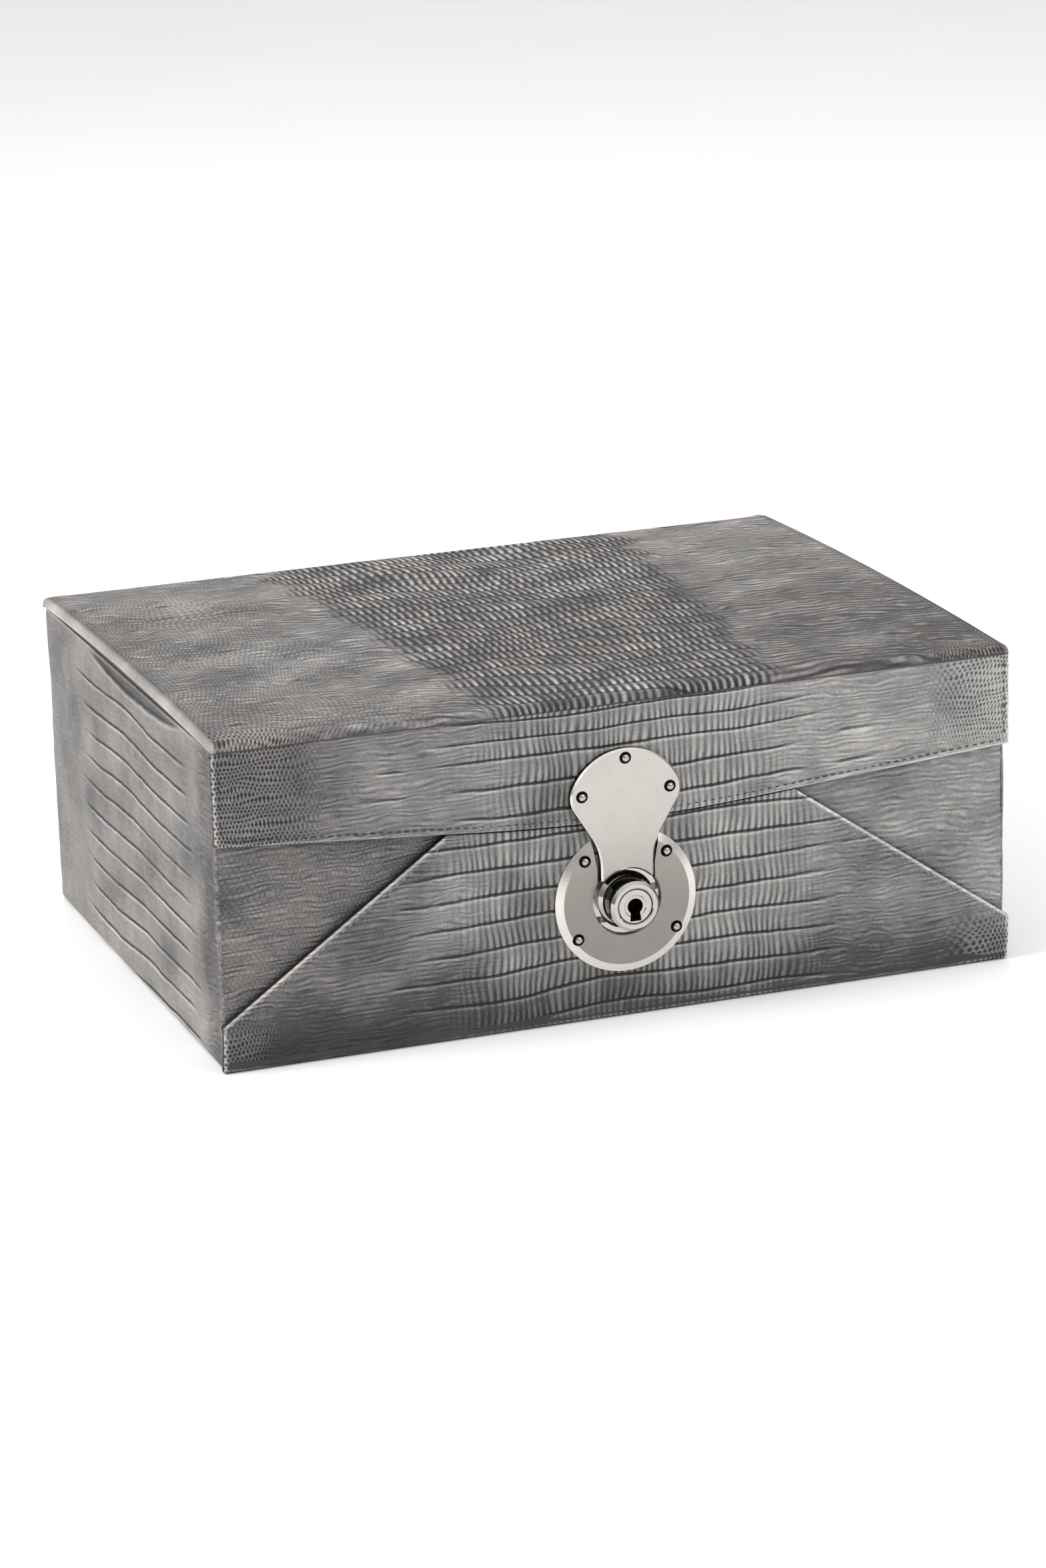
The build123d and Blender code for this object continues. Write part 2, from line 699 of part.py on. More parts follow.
# ---- Lock plug, turned by the key ----

PLUG_RIM = 0.4
PLUG_FACE_R = CORE_R - 2.6
PLUG_FACE_STEP = 0.3
PLUG_END_GAP = 0.1
SHAFT_OVERHANG = 0.2
CAM_SECTOR = (17.1, 19.3)
CAM_START = 115.0
CAM_SWEEP = 55.0
CAM_HUB_R = 5.5
CAM_ARM = 18.0
CAM_ARM_WIDTH = 4.6
CAM_ARM_STEP = 8.0

with BuildPart() as lock_plug:
    turned(
        (
            (0, CORE_FRONT + PLUG_FACE_STEP),
            (PLUG_FACE_R, CORE_FRONT + PLUG_FACE_STEP),
            (PLUG_FACE_R + PLUG_FACE_STEP, CORE_FRONT),
            (CORE_R - PLUG_RIM, CORE_FRONT),
            (CORE_R, CORE_FRONT + PLUG_RIM),
            (CORE_R, CORE_SEAT - PLUG_END_GAP),
            (SHAFT_R, CORE_SEAT - PLUG_END_GAP),
            (SHAFT_R, CAM_FRONT + CAM_THICKNESS + SHAFT_OVERHANG),
            (0, CAM_FRONT + CAM_THICKNESS + SHAFT_OVERHANG),
        )
    )
    with BuildSketch(lock_plane(CORE_FRONT + KEYHOLE_DEPTH)):
        Circle(KEYHOLE_R)
        with BuildLine():
            Polyline(
                (-KEYHOLE_NECK_X, 0),
                (-KEYHOLE_FOOT_X, -KEYHOLE_FOOT),
                (KEYHOLE_FOOT_X, -KEYHOLE_FOOT),
                (KEYHOLE_NECK_X, 0),
                close=True,
            )
        make_face()
    extrude(amount=KEYHOLE_DEPTH + 1, mode=Mode.SUBTRACT)

with BuildPart() as lock_cam:
    with BuildSketch(lock_plane(CAM_FRONT + CAM_THICKNESS)):
        Circle(CAM_SECTOR[1])
        Circle(CAM_SECTOR[0], mode=Mode.SUBTRACT)
        with BuildLine():
            far = Vector(2 * CAM_SECTOR[1], 0)
            rays = [far.rotate(Axis.Z, CAM_START + CAM_SWEEP * part) for part in (0, 0.5, 1)]
            Polyline((0, 0), *[(ray.X, ray.Y) for ray in rays], close=True)
        make_face(mode=Mode.INTERSECT)
        with Locations(Rotation(0, 0, CAM_START + CAM_SWEEP - CAM_ARM_STEP)):
            with Locations((CAM_ARM / 2, 0)):
                Rectangle(CAM_ARM, CAM_ARM_WIDTH)
        Circle(CAM_HUB_R)
        Circle(SHAFT_R, mode=Mode.SUBTRACT)
    extrude(amount=CAM_THICKNESS)

# ---- Upper drawer ----

with BuildPart() as upper_drawer_front:
    block((-DRAWER_X, DRAWER_X), (UPPER_FRONT, UPPER_FRONT + THIN_BOARD), (UPPER_Z, UPPER_TOP))

UPPER_INNER_FRONT = UPPER_FRONT + THIN_BOARD

with BuildPart() as upper_drawer_sides:
    for side in (-1, 1):
        inner, outer = sorted((side * DRAWER_INNER_X, side * DRAWER_X))
        block((inner, outer), (UPPER_INNER_FRONT, DRAWER_BACK), (UPPER_Z, UPPER_TOP))

with BuildPart() as upper_drawer_back:
    block(
        (-DRAWER_INNER_X, DRAWER_INNER_X),
        (DRAWER_BACK - THIN_BOARD, DRAWER_BACK),
        (UPPER_Z, UPPER_TOP),
    )

with BuildPart() as upper_drawer_bottom:
    block(
        (-DRAWER_INNER_X, DRAWER_INNER_X),
        (UPPER_INNER_FRONT, DRAWER_BACK - THIN_BOARD),
        (UPPER_Z, UPPER_Z + DRAWER_FLOOR),
    )

with BuildPart() as upper_drawer_pad:
    pad_z = UPPER_Z + DRAWER_FLOOR
    block(
        (-DRAWER_INNER_X, DRAWER_INNER_X),
        (UPPER_INNER_FRONT, DRAWER_BACK - THIN_BOARD),
        (pad_z, pad_z + PAD),
    )

PULL_X = 7.0
PULL_THICKNESS = 0.9

with BuildPart() as upper_drawer_pull:
    block((-PULL_X, PULL_X), (UPPER_FRONT - PULL_THICKNESS, UPPER_FRONT), (UPPER_Z + 5, UPPER_TOP - 2))

# ---- Sliding tray ----

TRAY_X = (-INNER_X + SLIDE_GAP, -0.8)
TRAY_Y = (INNER_FRONT + SLIDE_GAP, INNER_BACK - SLIDE_GAP)
TRAY_IN_X = (TRAY_X[0] + TRAY_WALL, TRAY_X[1] - TRAY_WALL)
TRAY_IN_Y = (TRAY_Y[0] + TRAY_WALL, TRAY_Y[1] - TRAY_WALL)
TRAY_FLOOR = TRAY_Z + 2.5

with BuildPart() as tray_bottom:
    block(TRAY_X, TRAY_Y, (TRAY_Z, TRAY_FLOOR))

with BuildPart() as tray_ends:
    block(TRAY_X, (TRAY_Y[0], TRAY_IN_Y[0]), (TRAY_FLOOR, TRAY_TOP))
    block(TRAY_X, (TRAY_IN_Y[1], TRAY_Y[1]), (TRAY_FLOOR, TRAY_TOP))

with BuildPart() as tray_sides:
    block((TRAY_X[0], TRAY_IN_X[0]), TRAY_IN_Y, (TRAY_FLOOR, TRAY_TOP))
    block((TRAY_IN_X[1], TRAY_X[1]), TRAY_IN_Y, (TRAY_FLOOR, TRAY_TOP))

with BuildPart() as tray_divider:
    block(TRAY_IN_X, (TRAY_SPLIT_Y, TRAY_SPLIT_Y + TRAY_WALL), (TRAY_FLOOR, TRAY_TOP - TRAY_DIVIDER_DROP))

with BuildPart() as tray_pad:
    block(TRAY_IN_X, (TRAY_SPLIT_Y + TRAY_WALL, TRAY_IN_Y[1]), (TRAY_FLOOR, TRAY_FLOOR + PAD))

with BuildPart() as ring_rolls:
    roll_pitch = (TRAY_SPLIT_Y - TRAY_IN_Y[0]) / ROLL_COUNT
    roll_r = (roll_pitch - ROLL_GAP) / 2
    for index in range(ROLL_COUNT):
        middle = TRAY_IN_Y[0] + roll_pitch * (index + 0.5)
        shoulder = TRAY_FLOOR + ROLL_HEIGHT - roll_r
        with BuildSketch(Plane.YZ.offset(TRAY_IN_X[0] + ROLL_END_GAP)):
            with BuildLine():
                ThreePointArc(
                    (middle - roll_r, shoulder),
                    (middle, TRAY_FLOOR + ROLL_HEIGHT),
                    (middle + roll_r, shoulder),
                )
                Polyline(
                    (middle + roll_r, shoulder),
                    (middle + roll_r, TRAY_FLOOR),
                    (middle - roll_r, TRAY_FLOOR),
                    (middle - roll_r, shoulder),
                )
            make_face()
        extrude(amount=TRAY_IN_X[1] - TRAY_IN_X[0] - 2 * ROLL_END_GAP)

# ---- Names and files ----

PIECES = {
    "base_leather": base_leather,
    "base_board": base_board,
    "left_wall": left_wall,
    "right_wall": right_wall,
    "back_wall": back_wall,
    "front_post_left": front_post_left,
    "front_post_right": front_post_right,
    "front_rail": front_rail,
    "left_leather": left_leather,
    "right_leather": right_leather,
    "back_leather": back_leather,
    "tunnel_left": tunnel_left,
    "tunnel_right": tunnel_right,
    "tunnel_roof": tunnel_roof,
    "drawer_runners": drawer_runners,
    "tray_rails": tray_rails,
    "compartment_pad": compartment_pad,
    "well_pads": well_pads,
    "long_divider": long_divider,
    "cross_dividers": cross_dividers,
    "hinge_lower_leaves": hinge_lower_leaves,
    "hinge_upper_leaves": hinge_upper_leaves,
    "hinge_pins": hinge_pins,
    "hinge_screws": hinge_screws,
    "lid_hinge_screws": lid_hinge_screws,
    "lid_board": lid_board,
    "flap_board": flap_board,
    "lid_leather": lid_leather,
    "lid_frame": lid_frame,
    "mirror": mirror,
    "lid_lining": lid_lining,
    "hasp_plate": hasp_plate,
    "hasp_rivets": hasp_rivets,
    "hasp_catch": hasp_catch,
    "drawer_front_board": drawer_front_board,
    "drawer_front_leather": drawer_front_leather,
    "drawer_front_core": drawer_front_core,
    "lower_drawer_sides": lower_drawer_sides,
    "lower_drawer_back": lower_drawer_back,
    "lower_drawer_bottom": lower_drawer_bottom,
    "lower_drawer_pad": lower_drawer_pad,
    "lock_plate": lock_plate,
    "lock_rivets": lock_rivets,
    "lock_housing": lock_housing,
    "lock_case": lock_case,
    "lock_plug": lock_plug,
    "lock_cam": lock_cam,
    "upper_drawer_front": upper_drawer_front,
    "upper_drawer_sides": upper_drawer_sides,
    "upper_drawer_back": upper_drawer_back,
    "upper_drawer_bottom": upper_drawer_bottom,
    "upper_drawer_pad": upper_drawer_pad,
    "upper_drawer_pull": upper_drawer_pull,
    "tray_bottom": tray_bottom,
    "tray_ends": tray_ends,
    "tray_sides": tray_sides,
    "tray_divider": tray_divider,
    "tray_pad": tray_pad,
    "ring_rolls": ring_rolls,
}

for name, piece in PIECES.items():
    piece.part.label = name
    export_step(piece.part, f"parts/{name}.step")
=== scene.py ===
import math
from functools import partial
from itertools import product

import bpy
import numpy as np
from mathutils import Matrix, Vector


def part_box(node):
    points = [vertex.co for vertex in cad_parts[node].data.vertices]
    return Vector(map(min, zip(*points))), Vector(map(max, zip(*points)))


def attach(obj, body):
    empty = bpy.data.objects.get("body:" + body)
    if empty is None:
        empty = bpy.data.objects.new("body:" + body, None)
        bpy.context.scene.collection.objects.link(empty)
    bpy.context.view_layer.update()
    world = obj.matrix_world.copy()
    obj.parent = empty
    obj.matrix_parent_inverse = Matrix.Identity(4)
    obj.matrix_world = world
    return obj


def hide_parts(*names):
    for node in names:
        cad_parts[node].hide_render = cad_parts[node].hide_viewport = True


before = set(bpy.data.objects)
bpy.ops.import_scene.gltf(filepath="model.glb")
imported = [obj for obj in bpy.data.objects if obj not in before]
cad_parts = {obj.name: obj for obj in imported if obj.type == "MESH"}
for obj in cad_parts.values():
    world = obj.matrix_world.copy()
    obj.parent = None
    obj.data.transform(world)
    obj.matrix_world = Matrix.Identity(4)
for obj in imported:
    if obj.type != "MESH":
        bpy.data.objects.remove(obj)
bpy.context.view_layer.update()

# Lengths in this script are millimetres; points become metres when a mesh is made.
MM = 0.001


def span(node):
    """Lowest and highest corner of a CAD node, in millimetres."""
    low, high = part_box(node)
    return np.array(low) / MM, np.array(high) / MM


LID_LOW, LID_HIGH = span("lid_leather")
PANEL_LOW, PANEL_HIGH = span("drawer_front_leather")
SIDE_LOW, SIDE_HIGH = span("left_leather")

HALF = LID_HIGH[0]
FRONT = LID_LOW[1]
BACK = LID_HIGH[1]
TOP_EDGE = 120.0
CROWN = LID_HIGH[2] - TOP_EDGE
LID_EDGE = 3.5
FLAP_THICKNESS = 3.5
LID_ROUND = 3.0
CASE_X = -SIDE_LOW[0]
CHEEK_Y = SIDE_LOW[1]
WALL_TOP = SIDE_HIGH[2]
PANEL_Y = PANEL_LOW[1]
PANEL_THICKNESS = PANEL_HIGH[1] - PANEL_LOW[1]
PANEL_FOOT = PANEL_LOW[2]
PANEL_END_Z = 17.5
PANEL_TOP_X = 66.0
PANEL_TOP_Z = 76.48
PANEL_SLOPE = (PANEL_TOP_Z - PANEL_END_Z) / (HALF - PANEL_TOP_X)
PANEL_LEAN = math.hypot(1, PANEL_SLOPE)
EDGE_GAP = 0.4
FLAP_BEND_X = 50.0
FLAP_BEND_Z = 75.7
FLAP_MIDDLE_Z = LID_LOW[2]
FLAP_CORNER_Z = 83.1
LOCK_Z = 44.4
OPENING_X = 93.0
OPENING_TOP = 58.0
FLOOR = 7.2
HINGE_X = 90.0
HINGE_HALF = 20.1
EDGE_ROUND = 1.0
EDGE_TUCK = 1.2
LID_END_ROUND = 2.4
BACK_ROUND = 1.2
PANEL_ROUND = 0.6
BACK_CORNER = 3.0
FRONT_CORNER = 1.2


# ---------------------------------------------------------------- shapes

def smooth(low, high, value):
    """Smooth step from 0 at low to 1 at high; low may be the larger one."""
    t = np.clip((value - low) / (high - low), 0, 1)
    return t * t * (3 - 2 * t)


def bell(value, width):
    """1 at 0, fading away on both sides over about the width."""
    return np.exp(-((value / width) ** 2))


def waves(a, b, size, seed, count=7):
    """Smooth random field over two coordinates, about -1 to 1, with features of the given size."""
    rng = np.random.default_rng(seed)
    total = np.zeros(np.broadcast(a, b).shape)
    for _ in range(count):
        angle = rng.uniform(0, 2 * math.pi)
        rate = rng.uniform(0.6, 1.5) * 2 * math.pi / size
        total += np.sin(rate * (a * math.cos(angle) + b * math.sin(angle)) + rng.uniform(0, 6.3))
    return total / math.sqrt(count * 0.5) / 2


def flap_edge(x):
    """Height of the flap's lower edge at x."""
    bend = FLAP_BEND_Z - FLAP_MIDDLE_Z
    radius = (FLAP_BEND_X**2 + bend**2) / (2 * bend)
    middle = FLAP_MIDDLE_Z + radius - np.sqrt(radius**2 - np.minimum(abs(x), FLAP_BEND_X) ** 2)
    slope = (FLAP_CORNER_Z - FLAP_BEND_Z) / (HALF - FLAP_BEND_X)
    return middle + slope * np.maximum(abs(x) - FLAP_BEND_X, 0)


def slant(x):
    """Height of the hexagonal panel's slanting edges, carried on across the middle."""
    return PANEL_TOP_Z - PANEL_SLOPE * (abs(x) - PANEL_TOP_X)


def panel_top(x):
    """Height of the hexagonal panel's upper edge at x."""
    return np.minimum(flap_edge(x) - EDGE_GAP, slant(x))


def diagonal_gap(x, z):
    """How far a point lies above the panel's slanting edge, square to it."""
    return (z - slant(x)) / PANEL_LEAN


def turned_edge(radius, thickness, tuck, steps=4):
    """How a leather edge rounds over: rows of (inset from the edge, depth below the face)."""
    rows = []
    for step in range(steps + 1):
        angle = math.pi / 2 * step / steps
        rows.append((radius * (1 - math.sin(angle)), radius * (1 - math.cos(angle))))
    inner = min(0.6, thickness - radius)
    for step in range(3):
        angle = math.pi / 2 * step / 2
        rows.append((inner * (1 - math.cos(angle)), thickness - inner * (1 - math.sin(angle))))
    rows.append((inner + tuck, thickness))
    return np.array(rows)


def spread(low, high, pitch, stops=()):
    """Even steps from low to high at about the given pitch, with extra lines at the stops."""
    marks = sorted({low, high, *[stop for stop in stops if low < stop < high]})
    parts = []
    for start, end in zip(marks, marks[1:]):
        parts.append(np.linspace(start, end, max(2, round((end - start) / pitch)) + 1)[:-1])
    return np.append(np.concatenate(parts), high)


def grid(*values):
    """Points from arrays of x, y and z, spread over a shared grid."""
    return np.stack(np.broadcast_arrays(*values), -1)


def mesh_object(name, points, faces, material, smooth_shading=True):
    """A mesh object from points in millimetres."""
    mesh = bpy.data.meshes.new(name)
    mesh.from_pydata((np.asarray(points) * MM).tolist(), [], faces)
    mesh.materials.append(material)
    if smooth_shading:
        mesh.shade_smooth()
    obj = bpy.data.objects.new(name, mesh)
    bpy.context.scene.collection.objects.link(obj)
    return obj


def grid_faces(rows, cols, keep=True):
    """Quads of a grid whose rows go down and columns go right, facing the viewer."""
    index = np.arange(rows * cols).reshape(rows, cols)
    quads = np.stack([index[:-1, :-1], index[1:, :-1], index[1:, 1:], index[:-1, 1:]], -1)
    return quads[np.broadcast_to(keep, quads.shape[:2])]


def leather_skin(name, points, normals, face, fields, body, nodes=(), keep=True):
    """A leather sheet from a grid of points, pushed in and out by its own relief.

    face is 0 where the sheet is turned in and stays plain; keep leaves faces out. The fields
    are stored on the points for the leather material.
    """
    pushed = points + normals * (relief(fields) * face)[..., None]
    used, corners = np.unique(grid_faces(*face.shape, keep), return_inverse=True)
    obj = mesh_object(name, pushed.reshape(-1, 3)[used], corners.reshape(-1, 4).tolist(), LEATHER)
    for key, values in fields.items():
        attribute = obj.data.attributes.new(key, "FLOAT_VECTOR", "POINT")
        stored = np.stack(values, -1).reshape(-1, 3)[used]
        attribute.data.foreach_set("vector", stored.astype(np.float32).reshape(-1))
    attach(obj, body)
    if nodes:
        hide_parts(*nodes)


def relief(fields):
    """Height of the leather in millimetres: rows of belly scales, long folds and swells."""
    row, _, belly = fields["scales"]
    _, ridge, swell = fields["folds"]
    gap = abs(row - np.round(row)) * 2
    groove = 1 - smooth(0.0, 0.28, gap)
    pillow = 0.22 * smooth(0.0, 0.9, gap)
    return (pillow - 0.24 * groove) * np.maximum(np.minimum(belly, 1), ridge) + swell


# ---------------------------------------------------------------- materials

class Tree:
    """A material's node tree with short ways to add nodes."""

    def __init__(self, name):
        self.material = bpy.data.materials.new(name)
        self.material.use_nodes = True
        self.nodes = self.material.node_tree.nodes
        self.links = self.material.node_tree.links
        self.shader = self.nodes["Principled BSDF"]

    def add(self, kind, inputs=(), **settings):
        node = self.nodes.new(kind)
        for key, value in settings.items():
            setattr(node, key, value)
        for key, value in dict(inputs).items():
            if isinstance(value, bpy.types.NodeSocket):
                self.links.new(value, node.inputs[key])
            else:
                node.inputs[key].default_value = value
        return node

    def math(self, operation, a, b=0.0, c=0.0):
        return self.add("ShaderNodeMath", {0: a, 1: b, 2: c}, operation=operation).outputs[0]

    def times(self, a, b):
        return self.math("MULTIPLY", a, b)

    def plus(self, a, amount, b):
        return self.math("MULTIPLY_ADD", a, amount, b)

    def part(self, vector, index):
        return self.add("ShaderNodeSeparateXYZ", {0: vector}).outputs[index]

    def step(self, value, low, high, to_low=0.0, to_high=1.0):
        inputs = {"Value": value, "From Min": low, "From Max": high, "To Min": to_low, "To Max": to_high}
        return self.add("ShaderNodeMapRange", inputs, interpolation_type="SMOOTHSTEP").outputs[0]

    def mix(self, factor, a, b):
        node = self.add("ShaderNodeMix", data_type="RGBA")
        for socket, value in ((0, factor), (6, a), (7, b)):
            if isinstance(value, bpy.types.NodeSocket):
                self.links.new(value, node.inputs[socket])
            else:
                node.inputs[socket].default_value = value
        return node.outputs[2]

    def noise(self, vector, scale, detail=3.0, roughness=0.55):
        inputs = {"Vector": vector, "Scale": scale, "Detail": detail, "Roughness": roughness}
        return self.add("ShaderNodeTexNoise", inputs).outputs[0]

    def bump(self, height, distance, strength=1.0):
        inputs = {"Height": height, "Distance": distance, "Strength": strength}
        bump = self.add("ShaderNodeBump", inputs)
        self.links.new(bump.outputs[0], self.shader.inputs["Normal"])

    def place(self, scale=(1 / MM, 1 / MM, 1 / MM)):
        coordinates = self.add("ShaderNodeTexCoord").outputs["Object"]
        return self.add("ShaderNodeMapping", {"Vector": coordinates, "Scale": scale}).outputs[0]

    def set(self, **values):
        for key, value in values.items():
            self.shader.inputs[key.replace("_", " ")].default_value = value

    def colour(self, socket):
        self.links.new(socket, self.shader.inputs["Base Color"])

    def roughness(self, socket):
        self.links.new(socket, self.shader.inputs["Roughness"])


def fill_ramp(ramp, stops):
    """Give a colour ramp its stops of (place, colour)."""
    elements = ramp.color_ramp.elements
    while len(elements) < len(stops):
        elements.new(0.5)
    for element, (place, colour) in zip(elements, stops):
        element.position = place
        element.color = colour


def rgb(red, green, blue):
    """Linear colour from 0-255 screen values."""
    parts = []
    for value in (red, green, blue):
        share = value / 255
        parts.append(share / 12.92 if share <= 0.04045 else ((share + 0.055) / 1.055) ** 2.4)
    return (*parts, 1.0)


def leather():
    """Lizard leather: belly scales in rows, rippled flanks and small beads, placed by mesh fields."""
    tree = Tree("lizard_leather")
    fields = {}
    for name in ("scales", "folds", "flow", "look"):
        attribute = tree.add("ShaderNodeAttribute", attribute_name=name)
        fields[name] = tree.add("ShaderNodeSeparateXYZ", {0: attribute.outputs["Vector"]}).outputs
    row, column, belly = fields["scales"]
    beaded, ridge, _ = fields["folds"]
    across, along, rippled = fields["flow"]
    tone, warm, rim = fields["look"]
    position = tree.place()
    plain = tree.math("SUBTRACT", 1.0, tree.math("MINIMUM", belly, 1.0))

    # Belly scales: upright bars between level grooves
    flutter = tree.math("SUBTRACT", tree.noise(position, 0.4, 2.0), 0.5)
    uneven_row = tree.plus(flutter, 0.05, row)
    uneven_column = tree.plus(flutter, 0.26, column)
    row_gap = tree.math("PINGPONG", uneven_row, 0.5)
    column_gap = tree.math("PINGPONG", uneven_column, 0.5)
    row_share = tree.math("FRACT", uneven_row)
    cell = {0: tree.math("FLOOR", uneven_column), 1: tree.math("FLOOR", uneven_row)}
    cell = tree.add("ShaderNodeCombineXYZ", cell).outputs[0]
    chance = tree.math("SUBTRACT", tree.add("ShaderNodeTexWhiteNoise", {"Vector": cell}).outputs[0], 0.5)
    bar = tree.step(column_gap, 0.0, 0.42)
    bar_power = tree.step(row_share, 0.95, 0.05, 0.35, 1.0)
    bars = tree.times(tree.math("SUBTRACT", bar, 0.55), tree.times(bar_power, belly))
    cells = tree.times(chance, belly)

    # Grooves between the rows, beaded where the bars meet them, with a pale lower lip
    line = tree.math("MAXIMUM", tree.math("MINIMUM", belly, 1.0), ridge)
    beading = tree.plus(tree.step(column_gap, 0.30, 0.05), belly, ridge)
    depth = tree.step(beading, 0.0, 1.0, 0.55, 1.0)
    groove = tree.times(tree.step(row_gap, 0.080, 0.016), tree.times(line, depth))
    lip = tree.times(tree.step(row_share, 0.80, 0.93), tree.step(row_share, 0.985, 0.95))
    lip = tree.times(lip, ridge)

    # Ripples of small scales along the flow on the flanks
    def flow(across_share, along_share):
        scaled = {0: tree.times(across, across_share), 1: tree.times(along, along_share)}
        return tree.add("ShaderNodeCombineXYZ", scaled).outputs[0]

    drift = tree.noise(flow(0.055, 0.30), 1.0, 1.6)
    phase = tree.plus(drift, 3.0, along)
    ripple_gap = tree.math("PINGPONG", phase, 0.5)
    broken = tree.step(tree.noise(flow(0.11, 0.55), 1.3, 4.0, 0.6), 0.36, 0.66)
    ripple = tree.step(ripple_gap, 0.02, 0.40)
    weight = tree.times(rippled, plain)
    ripples = tree.times(tree.math("SUBTRACT", ripple, 0.5), tree.times(broken, weight))

    # Beads: small round scales, set in staggered courses along the ripples
    course = tree.times(tree.math("FLOOR", phase), 0.5)
    bead_gap = tree.math("PINGPONG", tree.plus(across, 0.62, course), 0.5)
    bead = tree.math("ADD", bead_gap, ripple_gap)
    beads = tree.times(tree.step(bead, 0.62, 0.30), beaded)
    spots = tree.times(tree.step(bead, 0.58, 0.78), beaded)

    # The skin's fine grain and cloudy dye
    grain = tree.math("SUBTRACT", tree.noise(position, 1.5, 4.0, 0.6), 0.5)
    blotch = tree.math("SUBTRACT", tree.noise(position, 0.05, 5.0, 0.62), 0.5)

    height = tree.times(bars, 0.55)
    for part, amount in ((ripples, 0.75), (beads, 0.9), (spots, -0.9), (grain, 0.35), (groove, -1.3)):
        height = tree.plus(part, amount, height)
    tree.bump(height, 0.00036)

    # Colour follows the relief: pale tops, dark grooves, blotches of taupe
    # tone brings in painted light and shade from the mesh fields, and rim paler turned edges: wear with a
    # painted highlight.
    shade = tree.math("ADD", tone, 0.41)
    parts = (
        (bars, 0.36), (cells, 0.08), (groove, -0.46), (lip, 0.20), (ripples, 0.32), (beads, 0.16),
        (spots, -0.42), (grain, 0.30), (blotch, 0.42), (rim, 0.32),
    )
    for part, amount in parts:
        shade = tree.plus(part, amount, shade)
    ramp = tree.add("ShaderNodeValToRGB", {0: shade})
    greys = ((0.0, 22), (0.25, 66), (0.5, 128), (0.75, 186), (1.0, 232))
    fill_ramp(ramp, [(place, rgb(grey, grey * 0.984, grey * 0.968)) for place, grey in greys])
    tinted = tree.add("ShaderNodeMix", {7: rgb(244, 231, 229)}, data_type="RGBA", blend_type="MULTIPLY")
    tree.links.new(ramp.outputs[0], tinted.inputs[6])
    tree.links.new(tree.times(warm, tree.step(blotch, -0.14, 0.14)), tinted.inputs[0])
    tree.colour(tinted.outputs[2])
    tree.roughness(tree.step(shade, 0.2, 0.75, 0.60, 0.40))
    tree.set(Specular_IOR_Level=0.45)
    return tree.material


def grained(name, colour, grain, depth, contrast, rough, fuzz=0.0, stretch=(1, 1, 1)):
    """Leather lining, suede or paper: one hue with grain, blotches and a slight bump."""
    tree = Tree(name)
    position = tree.place([part / MM for part in stretch])
    grains = tree.noise(position, grain, 5.0, 0.65)
    blotch = tree.noise(tree.place(), 0.05, 3.0)
    shade = tree.math("ADD", tree.times(grains, 0.65), tree.times(blotch, 0.35))
    dark = rgb(*[part * (1 - contrast) for part in colour])
    pale = rgb(*[min(255, part * (1 + contrast * 0.7)) for part in colour])
    tree.colour(tree.mix(tree.step(shade, 0.3, 0.7), dark, pale))
    tree.roughness(tree.step(grains, 0.3, 0.7, rough[0], rough[1]))
    tree.bump(grains, depth)
    if fuzz:
        tree.set(Sheen_Weight=fuzz, Sheen_Roughness=0.45)
    return tree.material


def metal(name, colour, rough, scratch=0.06, brushed=(1, 1, 1), flat=0.0, sides=0.0, fade=0.0):
    """Nickel or steel with hairline scratches and cloudy polish.

    Away from the flat front, bevels are made paler as a painted highlight, where flat is the cosine at which
    they begin, and upright sides are made near black by the share given, as a painted dark reflection. fade
    darkens the lower end of a plate as painted shade.
    """
    tree = Tree(name)
    haze = tree.noise(tree.place(), 0.12, 4.0)
    hairs = tree.noise(tree.place([part / MM for part in brushed]), 3.0, 6.0, 0.7)
    shown = tree.mix(haze, rgb(*[part * 0.9 for part in colour]), rgb(*colour))
    coordinates = tree.add("ShaderNodeTexCoord").outputs
    # Painted shade: the lower end of a plate is darkened.
    if fade:
        height = tree.part(coordinates["Object"], 2)
        lower = tree.step(height, 0.085, 0.04, 0.0, fade)
        shown = tree.mix(lower, shown, rgb(70, 66, 63))
    facing = tree.math("ABSOLUTE", tree.part(coordinates["Normal"], 1))
    # Painted highlight: bevels turned away from the front are made pale.
    if flat:
        shown = tree.mix(tree.step(facing, flat, flat - 0.03, 0.0, 0.9), shown, rgb(226, 222, 216))
    # Painted dark reflection: upright sides are made near black.
    if sides:
        shown = tree.mix(tree.step(facing, 0.42, 0.10, 0.0, sides), shown, rgb(20, 18, 17))
    tree.colour(shown)
    mottle = tree.plus(hairs, 0.5, tree.times(haze, 0.5))
    tree.roughness(tree.step(mottle, 0.25, 0.75, rough, rough + scratch))
    tree.bump(hairs, 0.000004)
    tree.set(Metallic=1.0)
    return tree.material


def rivet_metal():
    """Domed nickel rivets, painted dark round the foot of the dome as shade."""
    tree = Tree("rivet_nickel")
    facing = tree.math("ABSOLUTE", tree.part(tree.add("ShaderNodeTexCoord").outputs["Normal"], 1))
    smear = tree.noise(tree.place(), 0.8, 3.0)
    dome = tree.mix(smear, rgb(168, 164, 159), rgb(196, 192, 187))
    # Painted shade: the foot of each dome, where it turns away from the front, is made near black.
    tree.colour(tree.mix(tree.step(facing, 0.86, 0.62), dome, rgb(14, 13, 12)))
    tree.roughness(tree.step(smear, 0.3, 0.7, 0.08, 0.16))
    tree.set(Metallic=1.0)
    return tree.material


def mirror_glass():
    """Silvered glass with faint smears."""
    tree = Tree("mirror_glass")
    smear = tree.noise(tree.place((1000, 300, 1000)), 0.04, 4.0)
    tree.colour(tree.mix(smear, rgb(214, 220, 222), rgb(228, 232, 233)))
    tree.roughness(tree.step(smear, 0.4, 0.7, 0.015, 0.05))
    tree.set(Metallic=1.0)
    return tree.material


